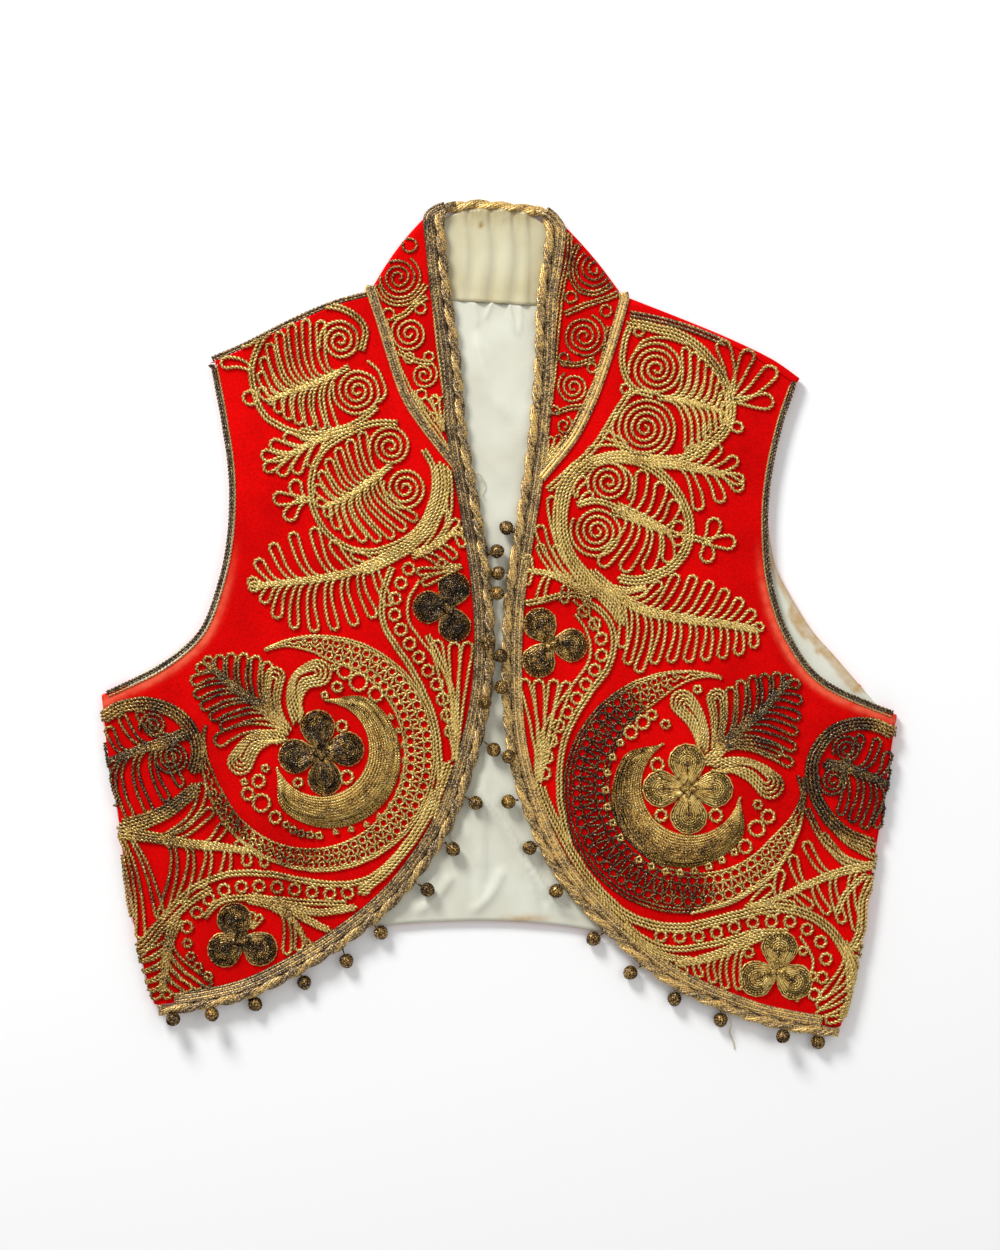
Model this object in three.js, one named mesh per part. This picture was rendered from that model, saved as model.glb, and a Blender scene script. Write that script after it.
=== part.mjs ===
// An embroidered folk vest of red velvet, laid flat with its fronts up.
// Millimetres, +Z up. The garment lies in the XY plane, its neck towards +Y, and
// rests on z = 0. "right" and "left" are the wearer's, so the right front is at -X.
//
// The layers, from the ground up, are the velvet back, its satin lining, and the two
// velvet fronts. Each front turns round the side fold and meets the back underneath.
// The collar is one strip that turns round two folds at the neck. A two-strand rope
// and a flat ribbed band trim the whole front edge, and ball buttons hang from the rope.
import * as THREE from "three";

// ---------- sizes ----------
const VELVET = 2.0; // thickness of velvet and its interlining
const SATIN = 0.9; // thickness of the lining
const SEAM = 0.35; // gap between pieces that are sewn together
const UNDER = VELVET / 2; // mid-height of cloth that lies on the ground
const LINING_BASE = VELVET + 0.3; // underside of the lining
const CROWN_BASE = 5.3; // mid-height of the fronts at their lowest
const CROWN_RISE = 1.7; // how much higher the fronts lie half way across
const CROWN_AT = { x: 115, y: -20 }; // where each front lies highest
const CROWN_SPREAD = { x: 75, y: 150 };
const WRAP = 24; // how far the front's cloth runs past the start of the side fold
const WRAP_RISE = 10.5; // how much the cut edge climbs over that length
const ROPE_STRAND = 1.6; // radius of one strand of the rope
const ROPE_SPREAD = 1.3; // from the rope's centre to a strand's centre
const ROPE_REACH = ROPE_STRAND + ROPE_SPREAD;
const ROPE_PITCH = 30; // length of one full twist
const ROPE_LIFT = 1.3; // rope's centre above the cloth's mid-height
const ROPE_GAP = ROPE_REACH + 0.4; // from the rope's centre to the velvet's edge
const BAND_WIDTH = 4.6; // the flat band beside the rope
const BAND_THICK = 1.3;
const BINDING = 1.5; // radius of the armhole cord
const BINDING_INSET = 1.75; // from the outline to that cord's centre
const CLOTH_INSET = 3.6; // from the outline to the velvet's edge at a corded edge
const PIPING = 1.5; // radius of the cord on the collar seam and the shoulders
const BUTTON = 4.1; // radius of a ball button
const SHANK = 0.7; // radius of its thread shank
const BUTTON_CLEAR = BUTTON + 0.8; // from its centre to the nearest strand
const BUTTON_Z = { lining: 8.7, ground: 4.35, rope: 4.35 }; // lowest height of its centre on each

// ---------- outlines: one row for each point, in millimetres ----------
const point = (x, y) => ({ x, y });

// The side fold, from the underarm to the hem's corner.
const SIDE = {
  right: [point(-218.9, -28), point(-216.2, -57.8), point(-211.2, -88), point(-206.3, -125.4),
    point(-199.7, -165), point(-191.4, -196.4), point(-188, -206)],
  left: [point(218.9, -36), point(215.1, -60.5), point(210.1, -94.6), point(204.6, -127.6),
    point(198.6, -165), point(191.4, -198), point(185.6, -218)],
};
// The front's armhole, from the shoulder's tip to the underarm.
const ARMHOLE = {
  right: [point(-160.1, 155.1), point(-153.5, 121), point(-149.1, 88), point(-150.2, 55),
    point(-156.2, 27.5), point(-166.1, 4.4), point(-187, -13.2), point(-218.9, -28.6)],
  left: [point(164.5, 143.6), point(155.7, 118.3), point(149.1, 88), point(147.4, 60.5),
    point(150.2, 30.3), point(160.1, 1.7), point(179.3, -22), point(218.9, -39.6)],
};
// The back's armhole, from the shoulder's tip to the top of the side seam.
const BACK_ARMHOLE = {
  right: [point(-157.2, 150), point(-150.5, 120), point(-147.2, 88), point(-148.2, 56),
    point(-154.2, 29), point(-163.6, 6.4), point(-183.6, -10.6), point(-198.6, -18.6)],
  left: [point(160.8, 141), point(153.7, 118.3), point(147.1, 88), point(146.9, 66),
    point(150.6, 42.4), point(156.2, 29.7), point(170.5, 6.1), point(182.6, -7.7), point(197.6, -25.2)],
};
// The shoulder's outline, from the neck to its tip.
const SHOULDER = {
  right: [point(-71, 192), point(-91.9, 186.5), point(-117.2, 175.5), point(-138.6, 164.5),
    point(-160.1, 155.1)],
  left: [point(67.1, 189.2), point(100.7, 176), point(127.1, 165), point(149.6, 154), point(164.5, 143.6)],
};
// On the left shoulder the back's cloth comes over the fold as far as this seam.
const LEFT_SHOULDER_SEAM = [point(69.6, 179), point(88, 175.4), point(106, 169.9), point(124, 162.2),
  point(143, 152.8), point(159.5, 141.8)];
// The seam that sets the collar on the front, from the neck to the collar's tip.
const COLLAR_SEAM = {
  right: [point(-71, 192), point(-65.5, 176), point(-60.5, 159.5), point(-52.8, 136.4),
    point(-43.5, 120.5), point(-25.9, 97.9)],
  left: [point(68.2, 187), point(64.4, 173.2), point(58.9, 155.1), point(50.6, 132),
    point(40.2, 111.1), point(25.3, 92.4)],
};
// The collar's fold, as the outline shows it: its neck end and its top end.
const COLLAR_FOLD = {
  right: { neck: point(-71, 192.4), top: point(-39, 234.9), bulge: 1.8 },
  left: { neck: point(67.1, 189.4), top: point(33, 230), bulge: 1.2 },
};
// The back's neck seam, from the right fold to the left one.
const NECK_SEAM = [point(-67.6, 189.6), point(-27.5, 187), point(0, 185.2), point(22, 184.4),
  point(63.8, 187)];
// The collar's top edge over the back, between the same folds.
const COLLAR_TOP = [point(-37, 232.6), point(-16, 234.2), point(8, 233.6), point(31, 228.4)];
// The back's hem, from one side seam to the other.
const HEM = [point(-168.4, -193.6), point(-148.5, -181), point(-110, -165.4), point(-65.5, -156.6),
  point(0, -154), point(55, -159.9), point(104.5, -173.6), point(148.5, -193), point(165.6, -204.4)];
// The rope's centre line down each front, from the turn at the collar's top.
const ROPE = {
  right: [point(-33.4, 231.5), point(-31.9, 214), point(-29.7, 192.5), point(-24.2, 154),
    point(-20.9, 115.5), point(-13.2, 71.5), point(-7.4, 33), point(-5.4, 0), point(-7.6, -33),
    point(-15.4, -66), point(-29.7, -103.4), point(-55, -139.2), point(-88, -166.7), point(-129.2, -190.3),
    point(-158, -199), point(-186.5, -203)],
  left: [point(27.6, 224.5), point(25.9, 207.9), point(22.6, 187), point(20.9, 143), point(16.5, 99),
    point(10.1, 57.8), point(4.7, 19.2), point(3.6, -27.5), point(7.2, -63.3), point(17.6, -99),
    point(34.1, -130.4), point(60.5, -159.5), point(94.6, -187.6), point(134.8, -205.2),
    point(160, -211.6), point(184.6, -215.2)],
};
// The rope's centre line behind the neck, between the two turns.
const ROPE_NECK = [point(-24, 237.8), point(-12, 239), point(4, 237.4), point(12, 236.6), point(19, 235.6)];
const ROPE_NECK_Z = ROPE_REACH + 0.15;

// ---------- what is raised on the fronts ----------
// A moon is what an outer circle leaves round an inner one that is off its centre.
const MOON = {
  right: { x: -93, y: -64.4, outer: 38.6, holeX: -97.9, holeY: -59.4, hole: 26.2, height: 2.2 },
  left: { x: 100.7, y: -85.2, outer: 39.4, holeX: 104.6, holeY: -79.6, hole: 27.2, height: 2.2 },
};
// Flowers: centre, how far out the petals' middles lie, petal radius, and each petal's bearing.
const FLOWER = {
  right_centre: { x: -97.8, y: -61.6, out: 14, petal: 9.3,
    bearings: [8, 98, 188, 278], height: 2.6, finish: "darkGold" },
  left_centre: { x: 102.8, y: -81.4, out: 14.6, petal: 9.8,
    bearings: [0, 92, 180, 272], height: 2.6, finish: "gold" },
  right_chest: { x: -28.2, y: 18, out: 10.6, petal: 8.8,
    bearings: [74, 180, 288], height: 2.4, finish: "darkGold" },
  left_chest: { x: 27.4, y: -1.6, out: 11.4, petal: 9,
    bearings: [-6, 118, 238], height: 2.4, finish: "darkGold" },
  right_corner: { x: -141.2, y: -163.6, out: 11, petal: 9.4,
    bearings: [112, 212, 332], height: 2.4, finish: "darkGold" },
  left_corner: { x: 151.4, y: -180.4, out: 11.6, petal: 9.8,
    bearings: [82, 204, 326], height: 2.4, finish: "gold" },
};

// ---------- ball buttons, from the top down: where each lies and on what ----------
const button = (x, y, on = "lining") => ({ x, y, on });
const BUTTONS = {
  right: [button(-1.6, 48.6), button(-1.4, 25.6, "rope"), button(-7.4, -1.6, "rope"),
    button(-8.4, -34, "rope"), button(-3.4, -60), button(-13.2, -89.1), button(-25.6, -114.4), button(-39.6, -136.6),
    button(-65.2, -160.6, "ground"), button(-84.2, -176, "ground"), button(-107.3, -188, "ground"),
    button(-134.2, -199.7, "ground"), button(-157.3, -204.4, "rope"), button(-178.6, -207, "rope")],
  left: [button(3.4, 61.4), button(-1.2, 36.6, "rope"), button(0.4, -8.6, "rope"), button(0.6, -25.6, "rope"),
    button(4.6, -63.6, "rope"), button(4.6, -88.4), button(16.2, -113.6), button(30.8, -137.4),
    button(51.2, -163.8, "ground"), button(71.5, -182.4, "ground"), button(95.7, -197, "ground"),
    button(121, -208.4, "ground"), button(154.6, -216.4, "rope"), button(174.4, -220.6, "ground")],
};

// ---------- creases of the satin: ends, sideways bow, half width and height ----------
const CREASES = [
  { x0: -25, y0: -68, x1: 22, y1: -150, bow: -7, width: 3.4, height: 1.5 },
  { x0: -7, y0: -66, x1: -9, y1: -132, bow: 2, width: 3.2, height: 1.1 },
  { x0: 14, y0: -118, x1: 42, y1: -152, bow: 4, width: 3.4, height: 1.3 },
  { x0: -46, y0: -150, x1: -26, y1: -128, bow: 2, width: 3.6, height: 1.2 },
  { x0: 2, y0: -124, x1: -16, y1: -150, bow: -3, width: 3.2, height: 1.0 },
  { x0: -14, y0: 168, x1: 4, y1: 120, bow: 2, width: 4.5, height: 0.9 },
];
// The collar's lining hangs in soft upright pleats.
const PLEAT = { spacing: 12.5, height: 1.1, from: -24, to: 18 };

// ---------- small helpers ----------
const clamp = (value, low = 0, high = 1) => Math.min(high, Math.max(low, value));
const mix = (a, b, t) => a + (b - a) * t;
const smooth = (low, high, value) => {
  const t = clamp((value - low) / (high - low));
  return t * t * (3 - 2 * t);
};
const bell = (value) => Math.exp(-value * value);
const mix2 = (p, q, t) => point(mix(p.x, q.x, t), mix(p.y, q.y, t));
const SIGN = { right: -1, left: 1 };
const SIDES = ["right", "left"];

// Points evenly spaced along a smooth curve through a table's points.
function along(table, pieces) {
  const curve = new THREE.SplineCurve(table.map((p) => new THREE.Vector2(p.x, p.y)));
  curve.arcLengthDivisions = 400;
  return curve.getSpacedPoints(pieces).map((p) => point(p.x, p.y));
}

// The same, over an outline already made of many points.
function resample(points, pieces) {
  const reached = [0];
  for (let i = 1; i < points.length; i++) {
    reached.push(reached[i - 1] + Math.hypot(points[i].x - points[i - 1].x, points[i].y - points[i - 1].y));
  }
  const total = reached[reached.length - 1];
  let at = 0;
  return Array.from({ length: pieces + 1 }, (_, k) => {
    const wanted = (total * k) / pieces;
    while (at < points.length - 2 && reached[at + 1] < wanted) at++;
    const share = clamp((wanted - reached[at]) / (reached[at + 1] - reached[at]));
    return mix2(points[at], points[at + 1], share);
  });
}

// An outline moved sideways: positive is to the left of its direction.
function shifted(points, distance) {
  return points.map((p, i) => {
    const before = points[Math.max(0, i - 1)];
    const after = points[Math.min(points.length - 1, i + 1)];
    const length = Math.hypot(after.x - before.x, after.y - before.y);
    return point(
      p.x - ((after.y - before.y) / length) * distance,
      p.y + ((after.x - before.x) / length) * distance,
    );
  });
}

// An outline's x at a height y, for an outline that runs steadily up or down.
function xAt(points, y) {
  for (let i = 1; i < points.length; i++) {
    const [p, q] = [points[i - 1], points[i]];
    if ((p.y - y) * (q.y - y) <= 0 && p.y !== q.y) return mix(p.x, q.x, (y - p.y) / (q.y - p.y));
  }
  const above = points[0].y > points[points.length - 1].y;
  return (y > points[0].y) === above ? points[0].x : points[points.length - 1].x;
}

const sideLine = { right: along(SIDE.right, 60), left: along(SIDE.left, 60) };
const ropeLine = { right: along(ROPE.right, 240), left: along(ROPE.left, 240) };

// ---------- the surface that the fronts and the collar share ----------
// Mid-height of the upper cloth over a place.
function crown(x, y) {
  const hump = bell((Math.abs(x) - CROWN_AT.x) / CROWN_SPREAD.x) * bell((y - CROWN_AT.y) / CROWN_SPREAD.y);
  const ripple = 0.3 * Math.sin(x / 31 + 0.8) * Math.cos(y / 43 - 0.4);
  return CROWN_BASE + CROWN_RISE * hump + ripple;
}

// The side fold at a height y: its radius, and how far from the middle it starts.
function foldAt(side, y) {
  const outline = Math.abs(xAt(sideLine[side], y));
  const radius = (crown(SIGN[side] * (outline - 3), y) - UNDER) / 2;
  return { radius, start: outline - VELVET / 2 - radius };
}

// A place on a front's cloth, out from the middle and up, carried on to the folded
// garment. lift is the distance out from the cloth's mid-surface.
function lay(side, out, y, lift = 0) {
  const { radius, start } = foldAt(side, y);
  const past = out - start;
  if (past <= 0) return new THREE.Vector3(SIGN[side] * out, y, crown(SIGN[side] * out, y) + lift);
  const climbed = y + (WRAP_RISE * past) / WRAP;
  const turn = past / radius;
  if (turn >= Math.PI) {
    return new THREE.Vector3(SIGN[side] * (start - (past - Math.PI * radius)), climbed, UNDER - lift);
  }
  return new THREE.Vector3(
    SIGN[side] * (start + (radius + lift) * Math.sin(turn)),
    climbed,
    UNDER + radius + (radius + lift) * Math.cos(turn),
  );
}

// ---------- solids ----------
const material = (color, roughness, metalness = 0) =>
  new THREE.MeshStandardMaterial({ color, roughness, metalness });
const MATERIAL = {
  velvet: material(0xc9090b, 0.85),
  satin: material(0xf1ede0, 0.35),
  gold: material(0xb9953f, 0.42, 0.7),
  agedGold: material(0x7a6238, 0.5, 0.6),
  darkGold: material(0x4c3f2c, 0.55, 0.6),
};

const part = new THREE.Group();

function add(name, geometry, finish) {
  geometry.computeVertexNormals();
  const mesh = new THREE.Mesh(geometry, finish);
  mesh.name = name;
  part.add(mesh);
}

// The corners of a piece that is already built.
function cornersOf(name) {
  const at = part.getObjectByName(name).geometry.attributes.position;
  return Array.from({ length: at.count }, (_, i) => new THREE.Vector3().fromBufferAttribute(at, i));
}

function geometryOf(vertices, triangles) {
  const geometry = new THREE.BufferGeometry();
  const places = vertices.flatMap((v) => [v.x, v.y, v.z]);
  geometry.setAttribute("position", new THREE.Float32BufferAttribute(places, 3));
  geometry.setIndex(triangles.flat());
  return geometry;
}

// A closed wall between two grids of points. Seen from the outer grid's side, its
// rows run anticlockwise before its columns; flip turns that round.
function shell(outer, inner, flip = false) {
  const [rows, columns] = [outer.length, outer[0].length];
  const count = rows * columns;
  const at = (i, j) => i * columns + j;
  const triangles = [];
  const quad = (a, b, c, d) => triangles.push([a, b, c], [a, c, d]);
  for (let i = 0; i < rows - 1; i++) {
    for (let j = 0; j < columns - 1; j++) {
      quad(at(i, j), at(i, j + 1), at(i + 1, j + 1), at(i + 1, j));
      quad(count + at(i, j), count + at(i + 1, j), count + at(i + 1, j + 1), count + at(i, j + 1));
    }
  }
  const rim = [];
  for (let j = 0; j < columns - 1; j++) rim.push(at(0, j));
  for (let i = 0; i < rows - 1; i++) rim.push(at(i, columns - 1));
  for (let j = columns - 1; j > 0; j--) rim.push(at(rows - 1, j));
  for (let i = rows - 1; i > 0; i--) rim.push(at(i, 0));
  rim.forEach((p, k) => {
    const q = rim[(k + 1) % rim.length];
    quad(q, p, count + p, count + q);
  });
  const turned = flip ? triangles.map(([a, b, c]) => [a, c, b]) : triangles;
  return geometryOf([...outer.flat(), ...inner.flat()], turned);
}

// A wall of even thickness about a grid of mid-surface points.
function wall(rows, thickness, flip = false) {
  const side = flip ? -1 : 1;
  const normals = rows.map((row, i) =>
    row.map((_, j) => {
      const across = row[Math.min(row.length - 1, j + 1)].clone().sub(row[Math.max(0, j - 1)]);
      const up = rows[Math.min(rows.length - 1, i + 1)][j].clone().sub(rows[Math.max(0, i - 1)][j]);
      return across.cross(up).normalize().multiplyScalar((side * thickness) / 2);
    }),
  );
  const moved = (sign) =>
    rows.map((row, i) => row.map((p, j) => p.clone().addScaledVector(normals[i][j], sign)));
  return shell(moved(1), moved(-1), flip);
}

// A closed bar along a path. section(i) lists its corners as [sideways, up].
function bar(path, section) {
  const vertices = [];
  const triangles = [];
  const corners = section(0).length;
  path.forEach((p, i) => {
    const along = path[Math.min(path.length - 1, i + 1)].clone().sub(path[Math.max(0, i - 1)]).normalize();
    const sideways = new THREE.Vector3().crossVectors(along, new THREE.Vector3(0, 0, 1)).normalize();
    const up = new THREE.Vector3().crossVectors(sideways, along);
    section(i).forEach(([s, u]) =>
      vertices.push(p.clone().addScaledVector(sideways, s).addScaledVector(up, u)),
    );
  });
  for (let i = 0; i < path.length - 1; i++) {
    for (let k = 0; k < corners; k++) {
      const [a, b] = [i * corners + k, i * corners + ((k + 1) % corners)];
      triangles.push([a, a + corners, b + corners], [a, b + corners, b]);
    }
  }
  const last = (path.length - 1) * corners;
  for (let k = 1; k < corners - 1; k++) {
    triangles.push([0, k, k + 1], [last, last + k + 1, last + k]);
  }
  return geometryOf(vertices, triangles);
}

const round = (radius, sides) => () =>
  Array.from({ length: sides }, (_, k) => {
    const angle = (2 * Math.PI * k) / sides;
    return [radius * Math.cos(angle), radius * Math.sin(angle)];
  });

// ---------- the fronts ----------
const FRONT_ROWS = { side: 9, turn: 3, chest: 8, collar: 6 };
const FRONT_COLUMNS = 9;
const WRAP_STEPS = [0.09, 0.18, 0.27, 0.36, 0.66, 1];
const TURN_HEIGHTS = [-90, -74]; // the front edge's heights opposite the underarm

const outwards = (side, table) => table.map((p) => point(SIGN[side] * p.x, p.y));

// The rope's line as a velvet edge, from the hem's corner up to a height.
function velvetEdge(side, top) {
  const edge = shifted(outwards(side, ropeLine[side]), ROPE_GAP);
  return edge.filter((p) => p.y <= top).reverse();
}

// The left front ends at the shoulder seam, and the right one beside the shoulder's cord.
function shoulderEdge(side) {
  if (side === "left") return shifted(along(LEFT_SHOULDER_SEAM, 24), -SEAM);
  return shifted(outwards(side, along(SHOULDER.right, 24)), -CLOTH_INSET);
}

function frontChains(side) {
  const tip = COLLAR_SEAM[side].at(-1).y;
  const edge = velvetEdge(side, tip);
  const below = (y) => edge.filter((p) => p.y <= y);
  const between = (low, high) => edge.filter((p) => p.y >= low && p.y <= high);
  const seam = shifted(outwards(side, along(COLLAR_SEAM[side], 40)), SEAM).reverse();
  const shoulder = shoulderEdge(side);
  const armhole = shifted(outwards(side, along(ARMHOLE[side], 60)), -CLOTH_INSET).reverse();
  const top = armhole[0].y;
  const hem = Math.abs(SIDE[side].at(-1).y);
  const seamline = Array.from({ length: 30 }, (_, k) => {
    const y = mix(-hem + 2, top, k / 29);
    return point(foldAt(side, y).start + WRAP, y);
  });
  const corner = point(armhole[0].x, top);
  const outer = [
    ...resample(seamline, FRONT_ROWS.side),
    ...resample([seamline.at(-1), corner], FRONT_ROWS.turn).slice(1),
    ...resample([...armhole.slice(1, -1), shoulder.at(-1)], FRONT_ROWS.chest + FRONT_ROWS.collar).slice(1),
  ];
  const inner = [
    ...resample(below(TURN_HEIGHTS[0]), FRONT_ROWS.side),
    ...resample(between(TURN_HEIGHTS[0], TURN_HEIGHTS[1]), FRONT_ROWS.turn).slice(1),
    ...resample([...between(TURN_HEIGHTS[1], tip - 3), seam[0]], FRONT_ROWS.chest).slice(1),
    ...resample([...seam.slice(0, -1), shoulder[0]], FRONT_ROWS.collar).slice(1),
  ];
  return { inner, outer, shoulder };
}

// How far along a row the side fold starts, or where the last few millimetres do.
function foldShare(side, inner, outer) {
  const length = Math.hypot(outer.x - inner.x, outer.y - inner.y);
  const least = 1 - 4 / length;
  const past = (t) => {
    const p = mix2(inner, outer, t);
    return p.x - foldAt(side, p.y).start;
  };
  if (past(1) < 4) return least;
  let [low, high] = [0, 1];
  for (let k = 0; k < 24; k++) {
    const middle = (low + high) / 2;
    if (past(middle) < 0) low = middle;
    else high = middle;
  }
  return Math.min(low, least);
}

function front(side) {
  const { inner, outer, shoulder } = frontChains(side);
  const last = inner.length - 1;
  const arched = resample(shoulder, FRONT_COLUMNS + WRAP_STEPS.length);
  const rows = inner.map((from, i) => {
    const to = outer[i];
    const fold = foldShare(side, from, to);
    const shares = [
      ...Array.from({ length: FRONT_COLUMNS + 1 }, (_, k) => (fold * k) / FRONT_COLUMNS),
      ...WRAP_STEPS.map((step) => mix(fold, 1, step)),
    ];
    const weight = smooth(last - 4, last, i);
    return shares.map((share) => {
      const p = mix2(from, to, share);
      const level = mix2(shoulder[0], shoulder.at(-1), share);
      const arch = pointAt(arched, share);
      return lay(side, p.x + (arch.x - level.x) * weight, p.y + (arch.y - level.y) * weight);
    });
  });
  add(`front_${side}`, wall(rows, VELVET, side === "left" ? false : true), MATERIAL.velvet);
}

// A place a share of the way through evenly spaced points.
function pointAt(points, share) {
  const at = clamp(share) * (points.length - 1);
  const k = Math.min(points.length - 2, Math.floor(at));
  return mix2(points[k], points[k + 1], at - k);
}

// ---------- the back ----------
// Where the front's cut edge lies underneath, at a height y.
function sideSeam(side, y) {
  const { radius, start } = foldAt(side, y - WRAP_RISE);
  return start - (WRAP - Math.PI * radius);
}

function backEdge(side) {
  const foot = HEM.at(side === "right" ? 0 : -1).y;
  const top = BACK_ARMHOLE[side].at(-1).y;
  const seam = Array.from({ length: 13 }, (_, k) => {
    const y = mix(foot, top, k / 12);
    return point(sideSeam(side, y) - SEAM, y);
  });
  const armhole = outwards(side, along(BACK_ARMHOLE[side], 22)).reverse();
  const shoulder = shifted(outwards(side, along(SHOULDER[side], 12)), -CLOTH_INSET - SEAM).reverse();
  return [...seam, ...armhole.slice(1, -1), ...shoulder.slice(1, -1)];
}

function back() {
  const neck = shifted(along(NECK_SEAM, 12), -SEAM);
  const outline = [
    ...backEdge("left"),
    ...neck.slice(1, -1).reverse(),
    ...outwards("right", backEdge("right")).reverse(),
    ...along(HEM, 24).slice(1, -1),
  ];
  const shape = new THREE.Shape(outline.map((p) => new THREE.Vector2(p.x, p.y)));
  add("back", new THREE.ExtrudeGeometry(shape, { depth: VELVET, bevelEnabled: false }), MATERIAL.velvet);
}

// The left shoulder, where the back's cloth comes round the fold to the front's seam.
function shoulderTurn() {
  const stations = 12;
  const outline = resample(along(SHOULDER.left, 60).slice(2), stations);
  const seam = resample(along(LEFT_SHOULDER_SEAM, 60), stations);
  const inward = shifted(outline, -1).map((p, i) => point(p.x - outline[i].x, p.y - outline[i].y));
  const rows = outline.map((edge, i) => {
    const radius = (crown(edge.x, edge.y) - UNDER) / 2;
    const inset = radius + VELVET / 2;
    const axis = point(edge.x + inward[i].x * inset, edge.y + inward[i].y * inset);
    const arc = [0, 45, 90, 135, 180].map((degrees) => {
      const angle = THREE.MathUtils.degToRad(degrees);
      const out = radius * Math.sin(angle);
      return new THREE.Vector3(axis.x - inward[i].x * out, axis.y - inward[i].y * out,
        UNDER + radius + radius * Math.cos(angle));
    });
    const start = new THREE.Vector3(seam[i].x, seam[i].y, crown(seam[i].x, seam[i].y));
    const foot = new THREE.Vector3(
      edge.x + inward[i].x * CLOTH_INSET,
      edge.y + inward[i].y * CLOTH_INSET,
      UNDER,
    );
    return [start, ...arc, foot];
  });
  add("shoulder_turn_left", wall(rows, VELVET, true), MATERIAL.velvet);
}

// ---------- the lining ----------
// How high the satin's creases stand at a place, calm near the fronts' edges.
function crease(x, y) {
  const room = Math.min(x - xAt(ropeLine.right, y), xAt(ropeLine.left, y) - x);
  const calm = smooth(3, 15, room);
  const stands = CREASES.map((fold) => {
    const [dx, dy] = [fold.x1 - fold.x0, fold.y1 - fold.y0];
    const length = Math.hypot(dx, dy);
    const share = ((x - fold.x0) * dx + (y - fold.y0) * dy) / (length * length);
    const off = ((x - fold.x0) * dy - (y - fold.y0) * dx) / length;
    const bowed = off - fold.bow * Math.sin(Math.PI * clamp(share));
    const ends = smooth(-0.08, 0.18, share) * smooth(1.08, 0.82, share);
    return fold.height * ends * bell(bowed / fold.width);
  });
  return calm * Math.max(0, ...stands);
}

const LINING_INSET = { fold: 1.5, hem: 1.4, armhole: 1.2, shoulder: 6 };
const LINING_ROWS = { side: 11, armhole: 9, shoulder: 4 };
const LINING_SHARES = [
  0, 0.1, 0.22, 0.33, 0.375, 0.41, 0.445, 0.48, 0.515, 0.55, 0.585, 0.63, 0.68, 0.78, 0.9, 1,
];

function liningEdge(side) {
  const armholeTop = outwards(side, BACK_ARMHOLE[side]).at(-1);
  const armhole = shifted(outwards(side, along(BACK_ARMHOLE[side], 40)), -LINING_INSET.armhole).reverse();
  const corner = point(foldAt(side, armholeTop.y).start - 4, armholeTop.y - 16);
  const foot = HEM.at(side === "right" ? 0 : -1).y;
  const fold = Array.from({ length: 16 }, (_, k) => {
    const y = mix(foot, corner.y, k / 15);
    return point(foldAt(side, y).start - LINING_INSET.fold, y);
  });
  const shoulder = shifted(outwards(side, along(SHOULDER[side], 30)), -LINING_INSET.shoulder).reverse();
  return [
    ...resample(fold, LINING_ROWS.side),
    ...resample([corner, ...armhole.slice(0, -3)], LINING_ROWS.armhole).slice(1),
    ...resample([armhole.at(-3), ...shoulder.slice(2, -1)], LINING_ROWS.shoulder).slice(1),
  ];
}

function lining() {
  const right = outwards("right", liningEdge("right"));
  const left = liningEdge("left");
  const last = right.length - 1;
  const hem = along(HEM, 60);
  const neck = shifted(along(NECK_SEAM, 60), -1);
  const middle = LINING_BASE + SATIN / 2;
  const rows = right.map((from, i) => {
    const low = 1 - smooth(0, 7, i);
    const high = smooth(last - 5, last, i);
    return LINING_SHARES.map((share) => {
      const p = mix2(from, left[i], share);
      const hemLift = yAt(hem, p.x) + LINING_INSET.hem - mix(right[0].y, left[0].y, share);
      const neckDrop = yAt(neck, p.x) - mix(right[last].y, left[last].y, share);
      const y = p.y + low * hemLift + high * neckDrop;
      return new THREE.Vector3(p.x, y, middle + crease(p.x, y));
    });
  });
  add("lining", wall(rows, SATIN), MATERIAL.satin);
}

// An outline's y at a place x, for an outline that runs from right to left of the wearer.
function yAt(points, x) {
  const turned = points.map((p) => point(p.y, p.x));
  return xAt(turned, x);
}

// ---------- the collar ----------
const COLLAR_ACROSS = 5;
const COLLAR_FRONT = 8;
const COLLAR_BACK = 8;

// The fold's axis: a line inside the outline, and the direction out from it.
function collarFold(side) {
  const fold = COLLAR_FOLD[side];
  const [dx, dy] = [fold.top.x - fold.neck.x, fold.top.y - fold.neck.y];
  const length = Math.hypot(dx, dy);
  const out = point((SIGN[side] * dy) / length, (-SIGN[side] * dx) / length);
  const middle = mix2(fold.neck, fold.top, 0.5);
  const radius = (crown(middle.x, middle.y) - UNDER) / 2;
  const inset = radius + VELVET / 2;
  const axis = Array.from({ length: COLLAR_ACROSS + 1 }, (_, k) => {
    const t = k / COLLAR_ACROSS;
    const p = mix2(fold.neck, fold.top, mix(0.05, 0.95, t));
    const push = fold.bulge * Math.sin(Math.PI * t) - inset;
    return point(p.x + out.x * push, p.y + out.y * push);
  });
  return { axis, out, radius };
}

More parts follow.
